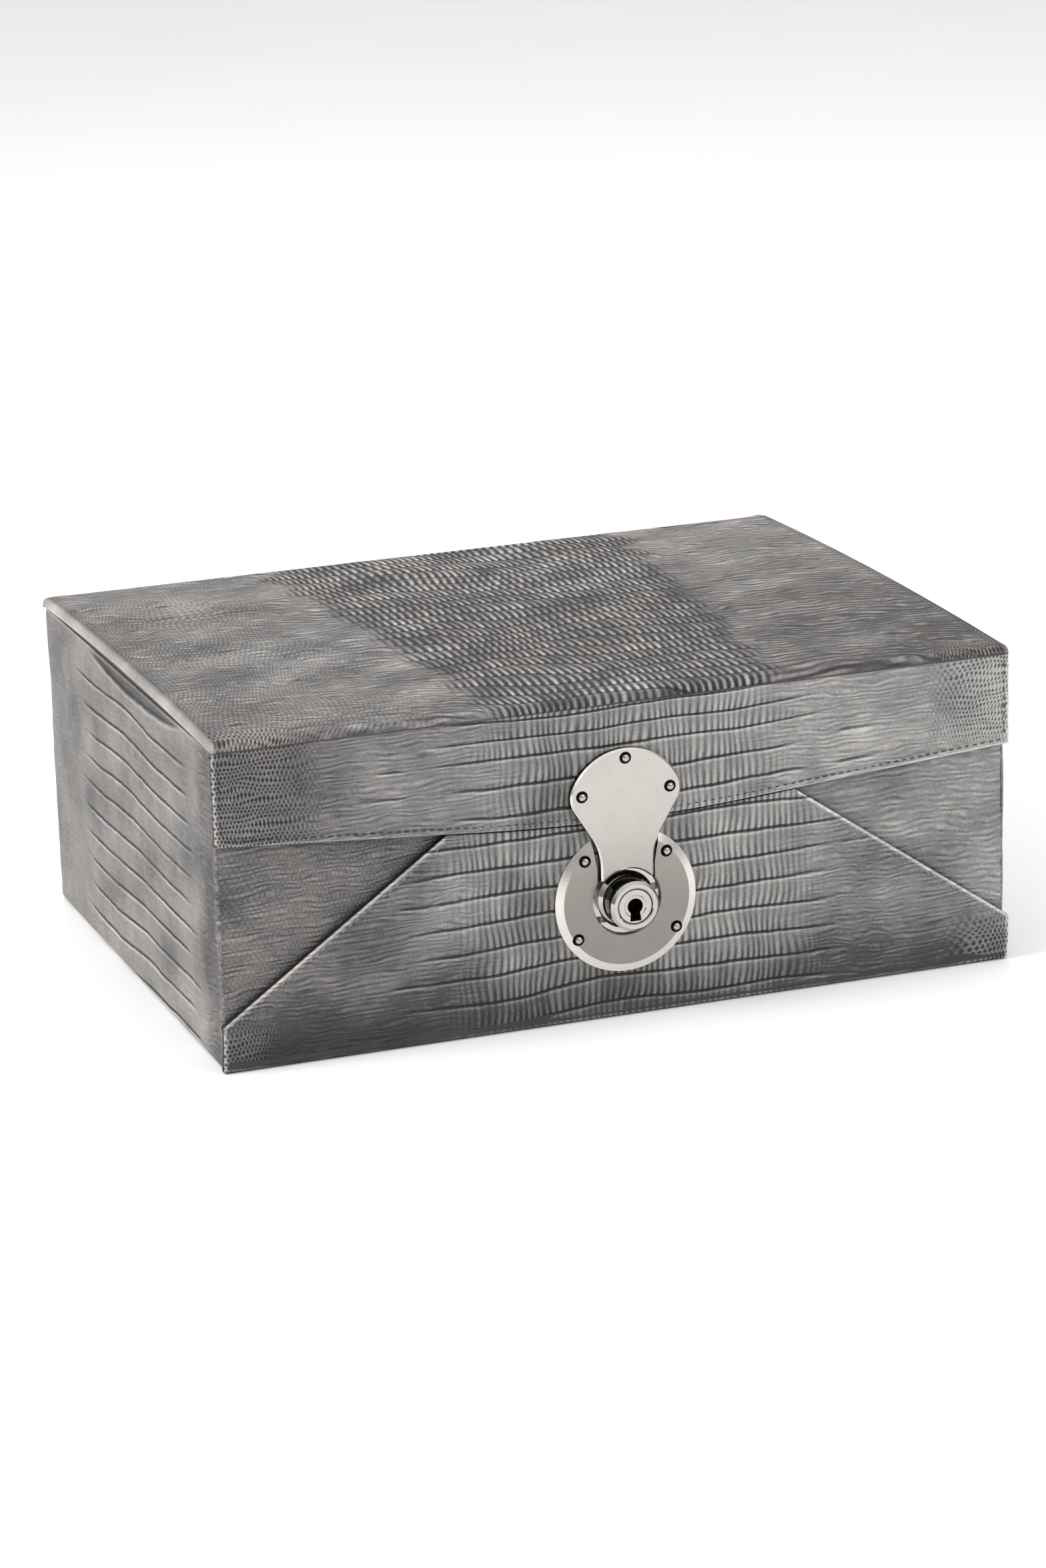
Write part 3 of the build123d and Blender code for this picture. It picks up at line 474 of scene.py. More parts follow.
def thread(name, colour):
    """Waxed sewing thread with its twist."""
    tree = Tree(name)
    twist = tree.noise(tree.place((3000, 3000, 3000)), 1.0, 2.0)
    tree.colour(tree.mix(twist, rgb(*[part * 0.6 for part in colour]), rgb(*colour)))
    tree.bump(twist, 0.00005)
    tree.set(Roughness=0.55)
    return tree.material


LEATHER = leather()
PLAIN_LEATHER = grained("plain_leather", (72, 68, 66), 1.6, 0.00012, 0.3, (0.45, 0.65))
SUEDE = grained("suede", (108, 104, 106), 3.2, 0.00012, 0.22, (0.85, 0.95), 0.5)
SUEDE_DEEP = grained("suede_deep", (84, 81, 84), 3.2, 0.00012, 0.22, (0.85, 0.95), 0.45)
PAPER_BOARD = grained("covered_board", (58, 55, 54), 1.2, 0.00005, 0.25, (0.7, 0.85))
HASP_NICKEL = metal("hasp_nickel", (200, 196, 190), 0.22, 0.1, flat=0.95, sides=0.96, fade=0.35)
PLATE_NICKEL = metal("plate_nickel", (168, 163, 157), 0.22, 0.1, flat=0.985, sides=0.96, fade=0.30)
NICKEL = metal("polished_nickel", (204, 199, 192), 0.16, 0.1)
BARREL_NICKEL = metal("barrel_nickel", (196, 192, 186), 0.08, 0.06, sides=0.72)
RIVET_NICKEL = rivet_metal()
# Near-black iron used as painted shade inside the keyhole and round the rivets.
SHADE_IRON = metal("shade_iron", (26, 25, 24), 0.5, 0.2)
STEEL = metal("zinc_steel", (150, 150, 152), 0.34, 0.15, (0.2, 1, 1))
MIRROR = mirror_glass()
THREAD = thread("grey_thread", (150, 146, 142))
THREAD_DARK = thread("dark_thread", (62, 59, 57))
THREAD_PALE = thread("pale_thread", (176, 172, 168))
RIBBON = grained("grosgrain_ribbon", (96, 90, 92), 2.0, 0.00015, 0.3, (0.6, 0.75), 0.3, (1, 1, 4))


# ---------------------------------------------------------------- camera, light, floor

def camera():
    """Camera at the measured direction, distance and roll."""
    azimuth = math.radians(-19.55)
    elevation = math.radians(16.59)
    distance = 1.8436
    roll = math.radians(-1.722)
    target = Vector((0.00249, 0.0, 0.05633))
    back = Vector((
        math.sin(azimuth) * math.cos(elevation),
        -math.cos(azimuth) * math.cos(elevation),
        math.sin(elevation),
    ))
    right = (-back).cross(Vector((0, 0, 1))).normalized()
    up = right.cross(-back)
    rolled_right = math.cos(roll) * right + math.sin(roll) * up
    rolled_up = math.cos(roll) * up - math.sin(roll) * right
    data = bpy.data.cameras.new("camera")
    data.lens = 112.87
    data.sensor_width = 36.0
    data.clip_start = 0.05
    obj = bpy.data.objects.new("camera", data)
    turn = Matrix((rolled_right, rolled_up, back)).transposed()
    obj.matrix_world = Matrix.Translation(target + back * distance) @ turn.to_4x4()
    bpy.context.scene.collection.objects.link(obj)
    bpy.context.scene.camera = obj


def area_light(name, place, aim, size, power, colour=(1, 1, 1)):
    """Soft rectangular light aimed at a point."""
    data = bpy.data.lights.new(name, "AREA")
    data.shape = "RECTANGLE"
    data.size, data.size_y = size
    data.energy = power
    data.color = colour
    obj = bpy.data.objects.new(name, data)
    obj.location = place
    obj.rotation_euler = (Vector(aim) - Vector(place)).to_track_quat("-Z", "Y").to_euler()
    bpy.context.scene.collection.objects.link(obj)


def studio():
    """Pale floor, pale surroundings and soft lights."""
    tree = Tree("studio_floor")
    speck = tree.noise(tree.place((1, 1, 1)), 6.0)
    tree.colour(tree.mix(speck, (0.86, 0.86, 0.86, 1), (0.90, 0.90, 0.90, 1)))
    tree.set(Roughness=0.9, Specular_IOR_Level=0.1)
    reach = 6000.0
    corners = [(-reach, -reach, 0), (reach, -reach, 0), (reach, reach, 0), (-reach, reach, 0)]
    floor = mesh_object("floor", corners, [(0, 1, 2, 3)], tree.material)
    world = bpy.data.worlds.new("studio")
    world.use_nodes = True
    nodes, links = world.node_tree.nodes, world.node_tree.links
    direction = nodes.new("ShaderNodeTexCoord").outputs["Generated"]
    height = nodes.new("ShaderNodeSeparateXYZ")
    links.new(direction, height.inputs[0])
    sky = nodes.new("ShaderNodeValToRGB")
    links.new(height.outputs[2], sky.inputs[0])
    greys = ((0.0, 0.30), (0.28, 0.38), (0.6, 0.85), (1.0, 1.15))
    fill_ramp(sky, [(place, (grey, grey, grey, 1)) for place, grey in greys])
    links.new(sky.outputs[0], nodes["Background"].inputs[0])
    nodes["Background"].inputs[1].default_value = 1.0
    bpy.context.scene.world = world
    area_light("key_left", (-1.5, -0.2, 1.2), (0, 0, 0.06), (0.8, 0.8), 24, (1.0, 0.985, 0.97))
    area_light("fill_right", (0.9, -1.5, 1.0), (0.05, 0, 0.08), (0.7, 0.6), 13, (0.97, 0.985, 1.0))
    area_light("top_back", (0.2, 1.2, 1.7), (0, 0, 0.06), (1.2, 0.8), 10)
    bpy.context.scene.view_settings.view_transform = "Standard"
    bpy.context.scene.view_settings.look = "None"


camera()
studio()


# ---------------------------------------------------------------- leather fields

SEAM_INSET = 2.2


def seam(distance):
    """Relief of a stitched edge: the seam line pulls in and the leather puffs up inside it."""
    return 0.16 * bell(distance - SEAM_INSET - 2.6, 1.8) - 0.24 * bell(distance - SEAM_INSET, 0.55)


def edge_wear_and_highlight(distance, width=1.5):
    """Paler leather within a millimetre or so of a turned edge: partly wear, partly a painted highlight where
    the rounded edge catches the light.
    """
    return smooth(width, 0.4 * width, distance)


def front_fields(x, z, flap):
    """Fields for the front: belly scales in the middle, rippled flanks. flap picks its rows."""
    wobble = waves(x, z, 46, 11) * 0.7 + waves(x, z, 17, 12) * 0.2
    if flap:
        squeezed = z + 0.5 * np.maximum(z - 102, 0)
        row = (squeezed - 101.8 - 0.017 * x + wobble * 1.2 - 2.2 * smooth(30, 75, abs(x))) / 10.2
        edge = 54 + 8 * waves(z, z * 0, 14, 13)
        edge_gap = np.minimum(z - flap_edge(x), HALF - abs(x))
        rim = 0.8 * edge_wear_and_highlight(edge_gap, 1.3) * (0.35 + 0.65 * smooth(40, 110, abs(x)))
        sewn = seam(edge_gap)
        beaded = smooth(-106, -132, x) + 0.8 * smooth(112, 136, x) * smooth(78, 92, z)
        # Painted light: the flap is lighter to the right and darker at its far left end.
        tone = 0.11 * smooth(-30, 40, x) - 0.10 * smooth(-90, -125, x)
    else:
        bow = 2.4 * bell(x, 32) * smooth(40, 14, z)
        row = (z - 72.4 - 0.016 * x - bow + wobble) / 9.75
        edge = 66 + 8 * waves(z, z * 0, 12, 14)
        diagonal = -diagonal_gap(x, z)
        end_gap = HALF - abs(x)
        slanting = np.where(abs(x) > PANEL_TOP_X, diagonal, 99)
        ends = np.where(abs(x) > PANEL_TOP_X, end_gap, 99)
        rim = edge_wear_and_highlight(np.minimum(slanting, ends)) + 0.4 * edge_wear_and_highlight(z - PANEL_FOOT, 1.2)
        sewn = seam(slanting)
        corner = smooth(34, 6, end_gap) * smooth(24, 8, z)
        beaded = corner
        # Painted light and shade: the panel is lighter to the right and darker towards its foot, at its ends
        # and at the lower left.
        tone = 0.05 * smooth(-30, 60, x) - 0.21 * smooth(30, 3, z) + 0.16 * corner
        tone = tone - 0.05 * smooth(64, 90, abs(x))
        tone = tone - 0.05 * smooth(-20, -80, x) * smooth(60, 20, z)
    column = (x + 1.2 * waves(x, z, 30, 15)) / 2.4
    belly = smooth(edge + 10, edge - 14, abs(x - 4))
    ridge = smooth(edge + 24, edge + 6, abs(x - 2)) * 0.8
    stray = 0.7 * smooth(0.15, 0.75, waves(x, z, 34, 20)) * smooth(118, 84, abs(x))
    ridge = np.maximum(ridge, stray)
    swell = 0.26 * waves(x, z, 34, 16) + 0.15 * waves(z, x / 4, 8, 17)
    bend = 7 * waves(x, z, 90, 18)
    return {
        "scales": (row, column, belly),
        "folds": (beaded, ridge, swell * (1 - belly) + sewn),
        "flow": (x + bend, (z + 0.12 * bend) / 1.8, 0.8 + 0 * x),
        "look": (tone + 0.03 * waves(x, z, 60, 19), 0.25 * smooth(-60, -140, x), rim),
    }


def top_fields(x, y):
    """Fields for the lid's top: a belt of belly scales that narrows to the front, blotchy flanks."""
    share = (BACK - y) / (BACK - FRONT)
    middle = 10 - 5 * share + 0 * x
    half = 71 - 20 * share + 5 * waves(y, y * 0, 22, 21)
    row = (y + 3 * waves(x, y, 70, 22)) / 10.0 + 0.012 * x + 0.09 * waves(x, y, 24, 29)
    column = (x + 0.06 * y + 2.2 * waves(x, y, 60, 23)) / 2.9
    belly = 2.1 * smooth(half + 8, half - 8, abs(x - middle))
    end_gap = HALF - abs(x)
    swell = (0.30 * waves(x, y, 40, 24) + 0.14 * waves(x, y, 12, 25)) * (1 - 0.6 * np.minimum(belly, 1))
    bend = 9 * waves(x, y, 80, 26)
    beaded = 0.9 * smooth(14, 4, y - FRONT) * smooth(110, 136, abs(x)) + 0.35 * smooth(-40, -110, x)
    tone = 0.07 * waves(x, y, 40, 27) - 0.13 * np.minimum(belly, 1) - 0.05
    # Painted light: the top is lighter towards the back and darker at the front right.
    tone = tone + 0.05 * smooth(0, 90, y) - 0.10 * smooth(20, 120, x) * smooth(40, -80, y)
    warm = 0.6 + 0.5 * waves(x, y, 90, 28) + 0.3 * smooth(0, 100, x)
    return {
        "scales": (row, column, belly),
        "folds": (np.clip(beaded, 0, 1) * smooth(1.5, 3, end_gap), 0 * x, swell + 0.7 * seam(end_gap)),
        "flow": (x + bend, (y + 0.6 * bend + 0.18 * x) / 3.4, 1.5 * smooth(1.5, 6, end_gap)),
        "look": (tone - 0.07 * smooth(6, 2.5, end_gap), np.clip(warm, 0, 1), 0.9 * edge_wear_and_highlight(end_gap, 2.2)),
    }


def tucked_fold(y, z):
    """The crescent under the lid where the leather is folded over: (depth mask, line, lip), which shape the
    fold and place its painted shade and the painted highlight on its lip.
    """
    along = np.clip((y + 74) / 124, 0, 1)
    sag = 4.6 * np.sin(math.pi * along) ** 0.8 + 0.5 * waves(y, z * 0, 40, 33)
    below = (WALL_TOP - z) - sag
    there = smooth(0, 0.12, along) * smooth(1, 0.88, along)
    inside = smooth(0.9, -0.7, below) * there
    return inside, bell(below, 0.55) * there, bell(below - 1.3, 0.7) * there


def side_fields(y, z, seed, front_y):
    """Fields for a side: long soft grooves over the middle, cross wrinkles near the front corner."""
    from_front = abs(y - front_y)
    low = smooth(78, 10, z)
    wave = low * 2.2 * np.sin((y + 14) / 24.0) + 0.8 * np.sin((y - 30) / 17.0)
    row = (z - 103.0 + wave + 0.5 * waves(y, z, 60, seed)) / 10.1
    front_end = smooth(-84, -66, y + 6 * waves(z, z * 0, 26, seed + 1))
    back_end = smooth(76, 48, y + 9 * waves(z, z * 0, 30, seed + 2))
    ridge = 1.15 * front_end * back_end * smooth(110, 104, z) * (0.85 + 0.3 * waves(y, z, 45, seed + 8))
    inside, line, lip = tucked_fold(y, z)
    swell = 0.28 * waves(y, z, 38, seed + 3) + 0.08 * waves(y, z, 11, seed + 4)
    swell = swell - 0.7 * inside + 0.35 * lip
    near = smooth(26, 8, from_front)
    bend = 4 * waves(y, z, 50, seed + 5)
    tone = 0.05 * waves(y, z, 45, seed + 7) - 0.12 * near + 0.08 * smooth(34, 8, z)
    # Painted shade in the crease under the lid, darkest along its bottom line, and a painted highlight on its
    # lower lip; the crease is also warmed as part of the painted shade.
    tone = tone - 0.15 * inside - 0.24 * line + 0.16 * lip
    rim = 0.35 * edge_wear_and_highlight(from_front, 2.0) + 0.6 * edge_wear_and_highlight(WALL_TOP - z, 0.9)
    return {
        "scales": (row, y / 2.6, 0 * y),
        "folds": (0.25 * near, ridge, swell),
        "flow": (y + bend, (z + 0.5 * bend + 0.05 * y) / 2.6, 0.18 + 0.75 * near),
        "look": (tone, np.clip(0.35 + 0.9 * inside, 0, 1), rim),
    }


def cheek_fields(x, z):
    """Fields for the front wall: fine level ripples, closer on the left cheek."""
    left = smooth(60, -60, x)
    pitch = 2.4 - 0.6 * left
    bend = 4 * waves(x, z, 60, 92)
    uncovered = smooth(0, 9, diagonal_gap(x, z)) * smooth(0, 9, flap_edge(x) - z)
    puff = 1.1 * uncovered * smooth(0, 7, CASE_X - 1.2 - abs(x))
    swell = 0.12 * waves(z, x / 5, 8, 93) + 0.14 * waves(x, z, 30, 94)
    # Painted light: the front wall is lighter to the right and darker on the left.
    tone = 0.02 * waves(x, z, 40, 95) + 0.06 * smooth(0, 90, x) - 0.05 * left
    # Painted shadow: a narrow dark line along the panel's slanting edges.
    tone = tone - 0.16 * bell(diagonal_gap(x, z), 0.8)
    return {
        "scales": (0.5 + 0 * x, 0 * x, 0 * x),
        "folds": (0.15 * left, 0 * x, swell + puff),
        "flow": (x + bend, (z + 0.35 * bend) / pitch, 0.75 + 0.25 * left),
        "look": (tone, 0.4 * left, 0 * x),
    }


# ---------------------------------------------------------------- leather skins

def darken(fields, depth, amount):
    """Darken the leather where it is turned in out of the light."""
    tone, warm, rim = fields["look"]
    fields["look"] = (tone - amount * smooth(0.5, 1.3, depth), warm, rim * smooth(1.2, 0.6, depth))


def end_columns(radius, thickness, tuck):
    """Columns of x across the chest, turned in at both ends, and their depths."""
    ends = turned_edge(radius, thickness, tuck)
    plain = spread(radius - HALF, HALF - radius, 1.2, (-PANEL_TOP_X, PANEL_TOP_X))[1:-1]
    x = np.concatenate([ends[::-1, 0] - HALF, plain, HALF - ends[:, 0]])
    return x, np.concatenate([ends[::-1, 1], 0 * plain, ends[:, 1]])


def top_height(y):
    """Height of the lid's crowned top."""
    return TOP_EDGE + CROWN * (1 - (y / BACK) ** 2)


def lid_top(x, x_depth):
    """Points and normals of the lid's top, its rounded front edge and its turned-in ends."""
    y_front = FRONT + LID_ROUND
    centre_z = top_height(y_front) - LID_ROUND
    ends = turned_edge(LID_END_ROUND, LID_EDGE, EDGE_TUCK)
    share = np.clip((abs(x) - HALF / 2) / (HALF / 2 - 1), 0, 1)
    x_top = x - np.sign(x) * share * (LID_END_ROUND - EDGE_ROUND)
    x_top[:len(ends)] = ends[::-1, 0] - HALF
    x_top[-len(ends):] = HALF - ends[:, 0]
    top_depth = x_depth.copy()
    top_depth[:len(ends)] = ends[::-1, 1]
    top_depth[-len(ends):] = ends[:, 1]

    # Rows of (y, z, normal y, normal z, depth, relief, way along the skin)
    rows = []
    for inset, depth in turned_edge(BACK_ROUND, LID_EDGE, 1.0)[::-1]:
        rows.append((BACK - inset, top_height(BACK), 0.0, 1.0, depth, 0.0, BACK - inset))
    for y in spread(y_front, BACK - BACK_ROUND, 0.9)[::-1][1:]:
        rows.append((y, top_height(y), 2 * CROWN * y / BACK**2, 1.0, 0.0, 1.0, y))
    for turn in np.radians(np.linspace(90, 0, 8)[1:]):
        ny, nz = -math.cos(turn), math.sin(turn)
        along = y_front - LID_ROUND * (math.pi / 2 - turn)
        rows.append((y_front + LID_ROUND * ny, centre_z + LID_ROUND * nz, ny, nz, 0.0, 0.8, along))
    y, z, ny, nz, depth, shown, along = np.array(rows).T[..., None]
    fall = np.clip((y_front - y) / LID_ROUND, 0, 1)
    depth = np.maximum(depth, top_depth * (1 - fall) + x_depth * fall)
    length = np.hypot(ny, nz)
    normals = grid(0.0, ny / length, nz / length + 0 * x)
    upper = grid(x_top * (1 - fall) + x * fall, y, z)
    fields = top_fields(upper[..., 0], along + 0 * upper[..., 0])
    return upper - normals * depth[..., None], normals, shown + 0 * x, 0 * depth, fields, centre_z


def lid_flap(x, x_depth, head_z):
    """Points and normals of the flap, from the rounded front edge down to its turned-in foot."""
    foot = turned_edge(EDGE_ROUND, FLAP_THICKNESS, EDGE_TUCK)[1:]
    shares = np.linspace(0, 1, 62)[1:, None]
    low = flap_edge(x)
    z = np.concatenate([head_z - shares * (head_z - low - EDGE_ROUND), low + foot[:, 0:1]])
    foot_depth = np.concatenate([0 * shares, foot[:, 1:2]])
    depth = np.maximum(foot_depth, x_depth)
    points = grid(x, FRONT + depth, z)
    normals = np.zeros_like(points)
    normals[..., 1] = -1.0
    return points, normals, (foot_depth == 0) + 0 * x, depth, front_fields(points[..., 0], z, True)


def lid_skin():
    """Top, rounded front edge and flap in one sheet, turned in all round."""
    x, x_depth = end_columns(EDGE_ROUND, LID_EDGE, EDGE_TUCK)
    *top, top_fields_here, centre_z = lid_top(x, x_depth)
    *flap, flap_fields = lid_flap(x, x_depth, centre_z)
    points, normals, face, fold = [np.concatenate(pair) for pair in zip(top, flap)]
    fields = {}
    for key, values in top_fields_here.items():
        fields[key] = tuple(np.concatenate(pair) for pair in zip(values, flap_fields[key]))
    darken(fields, fold, 0.3)
    face = face * smooth(0.5, 3.0, HALF - abs(x))
    leather_skin("lid_leather_skin", points, normals, face, fields, "lid", ["lid_leather"])


def upright_skin(name, path, across, fields_of, nodes, top_cut=None, z_stops=(), hole=None):
    """A wall's leather: a path of (x, y, nx, ny) points, with its foot and head turned in."""
    foot = turned_edge(2.2, 2.4, 3.0)
    head = turned_edge(0.8, 1.2, 4.0)
    plain = spread(2.2, WALL_TOP - 0.8, 0.62, z_stops)[1:-1]
    z = np.concatenate([WALL_TOP - head[::-1, 0], plain[::-1], foot[:, 0]])[:, None]
    depth = np.concatenate([head[::-1, 1], 0 * plain, foot[:, 1]])[:, None]
    x, y, nx, ny = np.array(path).T
    fields = fields_of(across + 0 * z, z + 0 * across)
    darken(fields, np.where(z > WALL_TOP / 2, depth, 0) + 0 * across, 0.8)
    face = smooth(0.2, 3.0, z) * smooth(0.2, 2.5, WALL_TOP - z) + 0 * across
    if top_cut is not None:
        z = np.minimum(z, top_cut(x))
    normals = grid(nx, ny, 0 * z)
    points = grid(x, y, z) - normals * depth[..., None]
    keep = True
    if hole is not None:
        middle = (points[:-1, :-1] + points[1:, 1:]) / 2
        keep = ~hole(middle[..., 0], middle[..., 2])
    leather_skin(name, points, normals, face, fields, "case", nodes, keep)


def corner_arc(centre, radius, start, end, steps):
    """Points of a rounded upright corner, with their outward normals; angles in degrees."""
    points = []
    for angle in np.radians(np.linspace(start, end, steps)):
        nx, ny = math.cos(angle), math.sin(angle)
        points.append((centre[0] + radius * nx, centre[1] + radius * ny, nx, ny))
    return points


def side_skins():
    """Left and right walls' leather, rounded at the back corners and turned round the front ones."""
    for side, word, seed in ((-1, "left", 40), (1, "right", 60)):
        outward = 90 + 90 * (side < 0) - 90 * (side > 0)
        front = 270 if side < 0 else -90
        back_centre = (side * (CASE_X - BACK_CORNER), BACK - BACK_CORNER)
        front_centre = (side * (CASE_X - FRONT_CORNER), CHEEK_Y + FRONT_CORNER)
        path = [(side * (CASE_X - BACK_CORNER - 1), BACK, 0.0, 1.0)]
        path += corner_arc(back_centre, BACK_CORNER, 90, outward, 7)
        ys = spread(CHEEK_Y + FRONT_CORNER, BACK - BACK_CORNER, 1.1)[::-1][1:-1]
        path += [(side * CASE_X, y, float(side), 0.0) for y in ys]
        path += corner_arc(front_centre, FRONT_CORNER, outward, front, 6)
        path = np.array(path)[::-side]
        fields_of = partial(side_fields, seed=seed, front_y=CHEEK_Y)
        upright_skin(word + "_leather_skin", path, path[:, 1], fields_of, [word + "_leather"])


def back_skin():
    """Leather on the back wall, let in for the hinge leaves."""
    stops = []
    for side in (-1, 1):
        for reach in (HINGE_HALF, HINGE_HALF + 0.1):
            stops += [side * HINGE_X - reach, side * HINGE_X + reach]
    x = spread(BACK_CORNER - CASE_X, CASE_X - BACK_CORNER, 1.5, stops)[::-1]

    def cut(values):
        inside = abs(abs(values) - HINGE_X) < HINGE_HALF + 0.05
        return np.where(inside, WALL_TOP - 1.05, WALL_TOP)

    def fields_of(a, z):
        return side_fields(a * 0.75, z, 80, 500.0)

    upright_skin("back_leather_skin", [(a, BACK, 0.0, 1.0) for a in x], x, fields_of, ["back_leather"], cut)


def front_wall_skin():
    """Leather on the front wall: the two cheeks, with the drawers' opening left out."""
    side, top = OPENING_X - 0.3, OPENING_TOP - 0.6
    x = spread(FRONT_CORNER - CASE_X, CASE_X - FRONT_CORNER, 1.2, (-side, side))

    def opening(a, z):
        return (abs(a) < side) & (z < top) & (z > FLOOR)

    path = [(a, CHEEK_Y, 0.0, -1.0) for a in x]
    upright_skin("front_cheek_skin", path, x, cheek_fields, (), None, (top, FLOOR), opening)


def panel_skin():
    """Leather on the hexagonal drawer front, turned in all round."""
    x, x_depth = end_columns(PANEL_ROUND, PANEL_THICKNESS, 0.8)
    insets, depths = turned_edge(PANEL_ROUND, PANEL_THICKNESS, 0.8).T[..., None]
    lean = np.where(abs(x) > PANEL_TOP_X, PANEL_LEAN, 1.0)
    top = panel_top(x)
    high = top - PANEL_ROUND * lean
    low = PANEL_FOOT + PANEL_ROUND
    shares = np.linspace(0, 1, 124)[1:-1, None]
    z = np.concatenate([top - insets[::-1] * lean, high + (low - high) * shares, PANEL_FOOT + insets + 0 * x])
    depth = np.maximum(np.concatenate([depths[::-1], 0 * shares, depths]), x_depth)
    under = 1.5 * smooth(15, 0, z) ** 1.5
    points = grid(x, PANEL_Y + depth + under, z)
    normals = np.zeros_like(points)
    normals[..., 1] = -1.0
    inner = np.minimum(np.minimum(top - z, z - PANEL_FOOT), HALF - abs(x))
    fields = front_fields(x + 0 * z, z, False)
    darken(fields, 1.5 * depth, 0.8)
    face = smooth(0.6, 3.0, inner)
    nodes = ["drawer_front_leather"]
    leather_skin("panel_leather_skin", points, normals, face, fields, "lower_drawer", nodes)


lid_skin()
side_skins()
back_skin()
front_wall_skin()
panel_skin()


# ---------------------------------------------------------------- stitches

def parts(node):
    """Boxes, lowest and highest corner, of the separate solids of a CAD node, in millimetres."""
    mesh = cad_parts[node].data
    points = np.empty(3 * len(mesh.vertices))
    mesh.vertices.foreach_get("co", points)
    points, same = np.unique(np.round(points.reshape(-1, 3) / MM, 3), axis=0, return_inverse=True)
    ends = np.empty(2 * len(mesh.edges), int)
    mesh.edges.foreach_get("vertices", ends)
    ends = same.reshape(-1)[ends].reshape(-1, 2)
    label = np.arange(len(points))
    before = None
    while before is None or (label != before).any():
        before = label.copy()
        least = label[ends].min(axis=1)
        np.minimum.at(label, ends[:, 0], least)
        np.minimum.at(label, ends[:, 1], least)
    return [(points[label == one].min(0), points[label == one].max(0)) for one in np.unique(label)]


def joined(name, shapes, material, body, node=None):
    """One piece from several (points, faces) shapes."""
    points, faces = [], []
    count = 0
    for shape_points, shape_faces in shapes:
        points.append(shape_points)
        faces += [tuple(index + count for index in face) for face in shape_faces]
        count += len(shape_points)
    obj = mesh_object(name, np.concatenate(points), faces, material)
    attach(obj, body)
    if node:
        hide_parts(node)
    return obj


def rectangle(x, y):
    """Points once round the rectangle of grid lines x and y, starting at its lowest corner."""
    ring = [(a, y[0]) for a in x[:-1]] + [(x[-1], b) for b in y[:-1]]
    ring += [(a, y[-1]) for a in x[:0:-1]] + [(x[0], b) for b in y[:0:-1]]
    return np.array(ring)


def loop_faces(rings, sides):
    """Faces of a ring-shaped tube whose last ring meets its first."""
    faces = []
    for ring in range(rings):
        here, there = ring * sides, (ring + 1) % rings * sides
        for side in range(sides):
            after = (side + 1) % sides
            faces.append((here + side, here + after, there + after, there + side))
    return faces


def tube_faces(rings, sides):
    """Faces of a tube of rings, closed at both ends."""
    faces = []
    for ring in range(rings - 1):
        low = ring * sides
        for side in range(sides):
            after = (side + 1) % sides
            faces.append((low + side, low + sides + side, low + sides + after, low + after))
    faces.append(tuple(range(sides)))
    faces.append(tuple(reversed(range((rings - 1) * sides, rings * sides))))
    return faces


def stitch(place, direction, normal, length=1.9, radius=0.22):
    """One sewn stitch: a short bent thread at the place, along the direction."""
    sides, rings = 6, 7
    normal = np.asarray(normal, float)
    direction = np.asarray(direction, float) / np.linalg.norm(direction)
    across = np.cross(direction, normal)
    turn = np.linspace(0, 2 * math.pi, sides, endpoint=False)[:, None]
    round_thread = np.cos(turn) * across + np.sin(turn) * normal
    points = []
    for share in np.linspace(-1, 1, rings):
        centre = np.asarray(place) + direction * length / 2 * share + normal * (0.16 - 0.42 * share**4)
        points.append(centre + radius * (1 - 0.45 * share**4) * round_thread)
    return np.concatenate(points), tube_faces(rings, sides)


def sewn(name, rows, material, body):
    """One piece with all the stitches of the given rows of (places, directions, normal)."""
    shapes = []
    for places, directions, normal in rows:
        shapes += [stitch(place, direction, normal) for place, direction in zip(places, directions)]
    joined(name, shapes, material, body)


def stitch_seams():
    """Stitches along the flap's edge and ends, the lid's ends, and the panel's slanting edges."""
    pitch, sunk = 3.1, 0.12
    front = (0, -1, 0)
    x = np.arange(-HALF + SEAM_INSET + 2, HALF - SEAM_INSET - 1, pitch)
    z = flap_edge(x) + SEAM_INSET
    level = [(a, FRONT + sunk, b) for a, b in zip(x, z)]
    flap = [(level, [(1, 0, slope) for slope in np.gradient(z, x)], front)]
    upright = np.arange(FLAP_CORNER_Z + 5, TOP_EDGE - 5, pitch)
    deep = np.arange(FRONT + 6, BACK - 4, pitch)
    steps = np.arange(PANEL_TOP_X + 1, HALF - 5, pitch / PANEL_LEAN)
    ends, panel = [], []
    for side in (-1, 1):
        end_x = side * (HALF - SEAM_INSET)
        flap.append(([(end_x, FRONT + sunk, b) for b in upright], [(0, 0, 1)] * len(upright), front))
        end_x = side * (HALF - SEAM_INSET - 1.4)
        ends.append(([(end_x, b, top_height(b) - sunk) for b in deep], [(0, 1, 0)] * len(deep), (0, 0, 1)))
        places = [(side * a, PANEL_Y + sunk, slant(a) - 1.7 * PANEL_LEAN) for a in steps]
        panel.append((places, [(side, 0, -PANEL_SLOPE)] * len(steps), front))
    sewn("flap_stitches", flap, THREAD_DARK, "lid")
    sewn("lid_end_stitches", ends, THREAD, "lid")
    sewn("panel_stitches", panel, THREAD_PALE, "lower_drawer")


stitch_seams()


# ---------------------------------------------------------------- lock

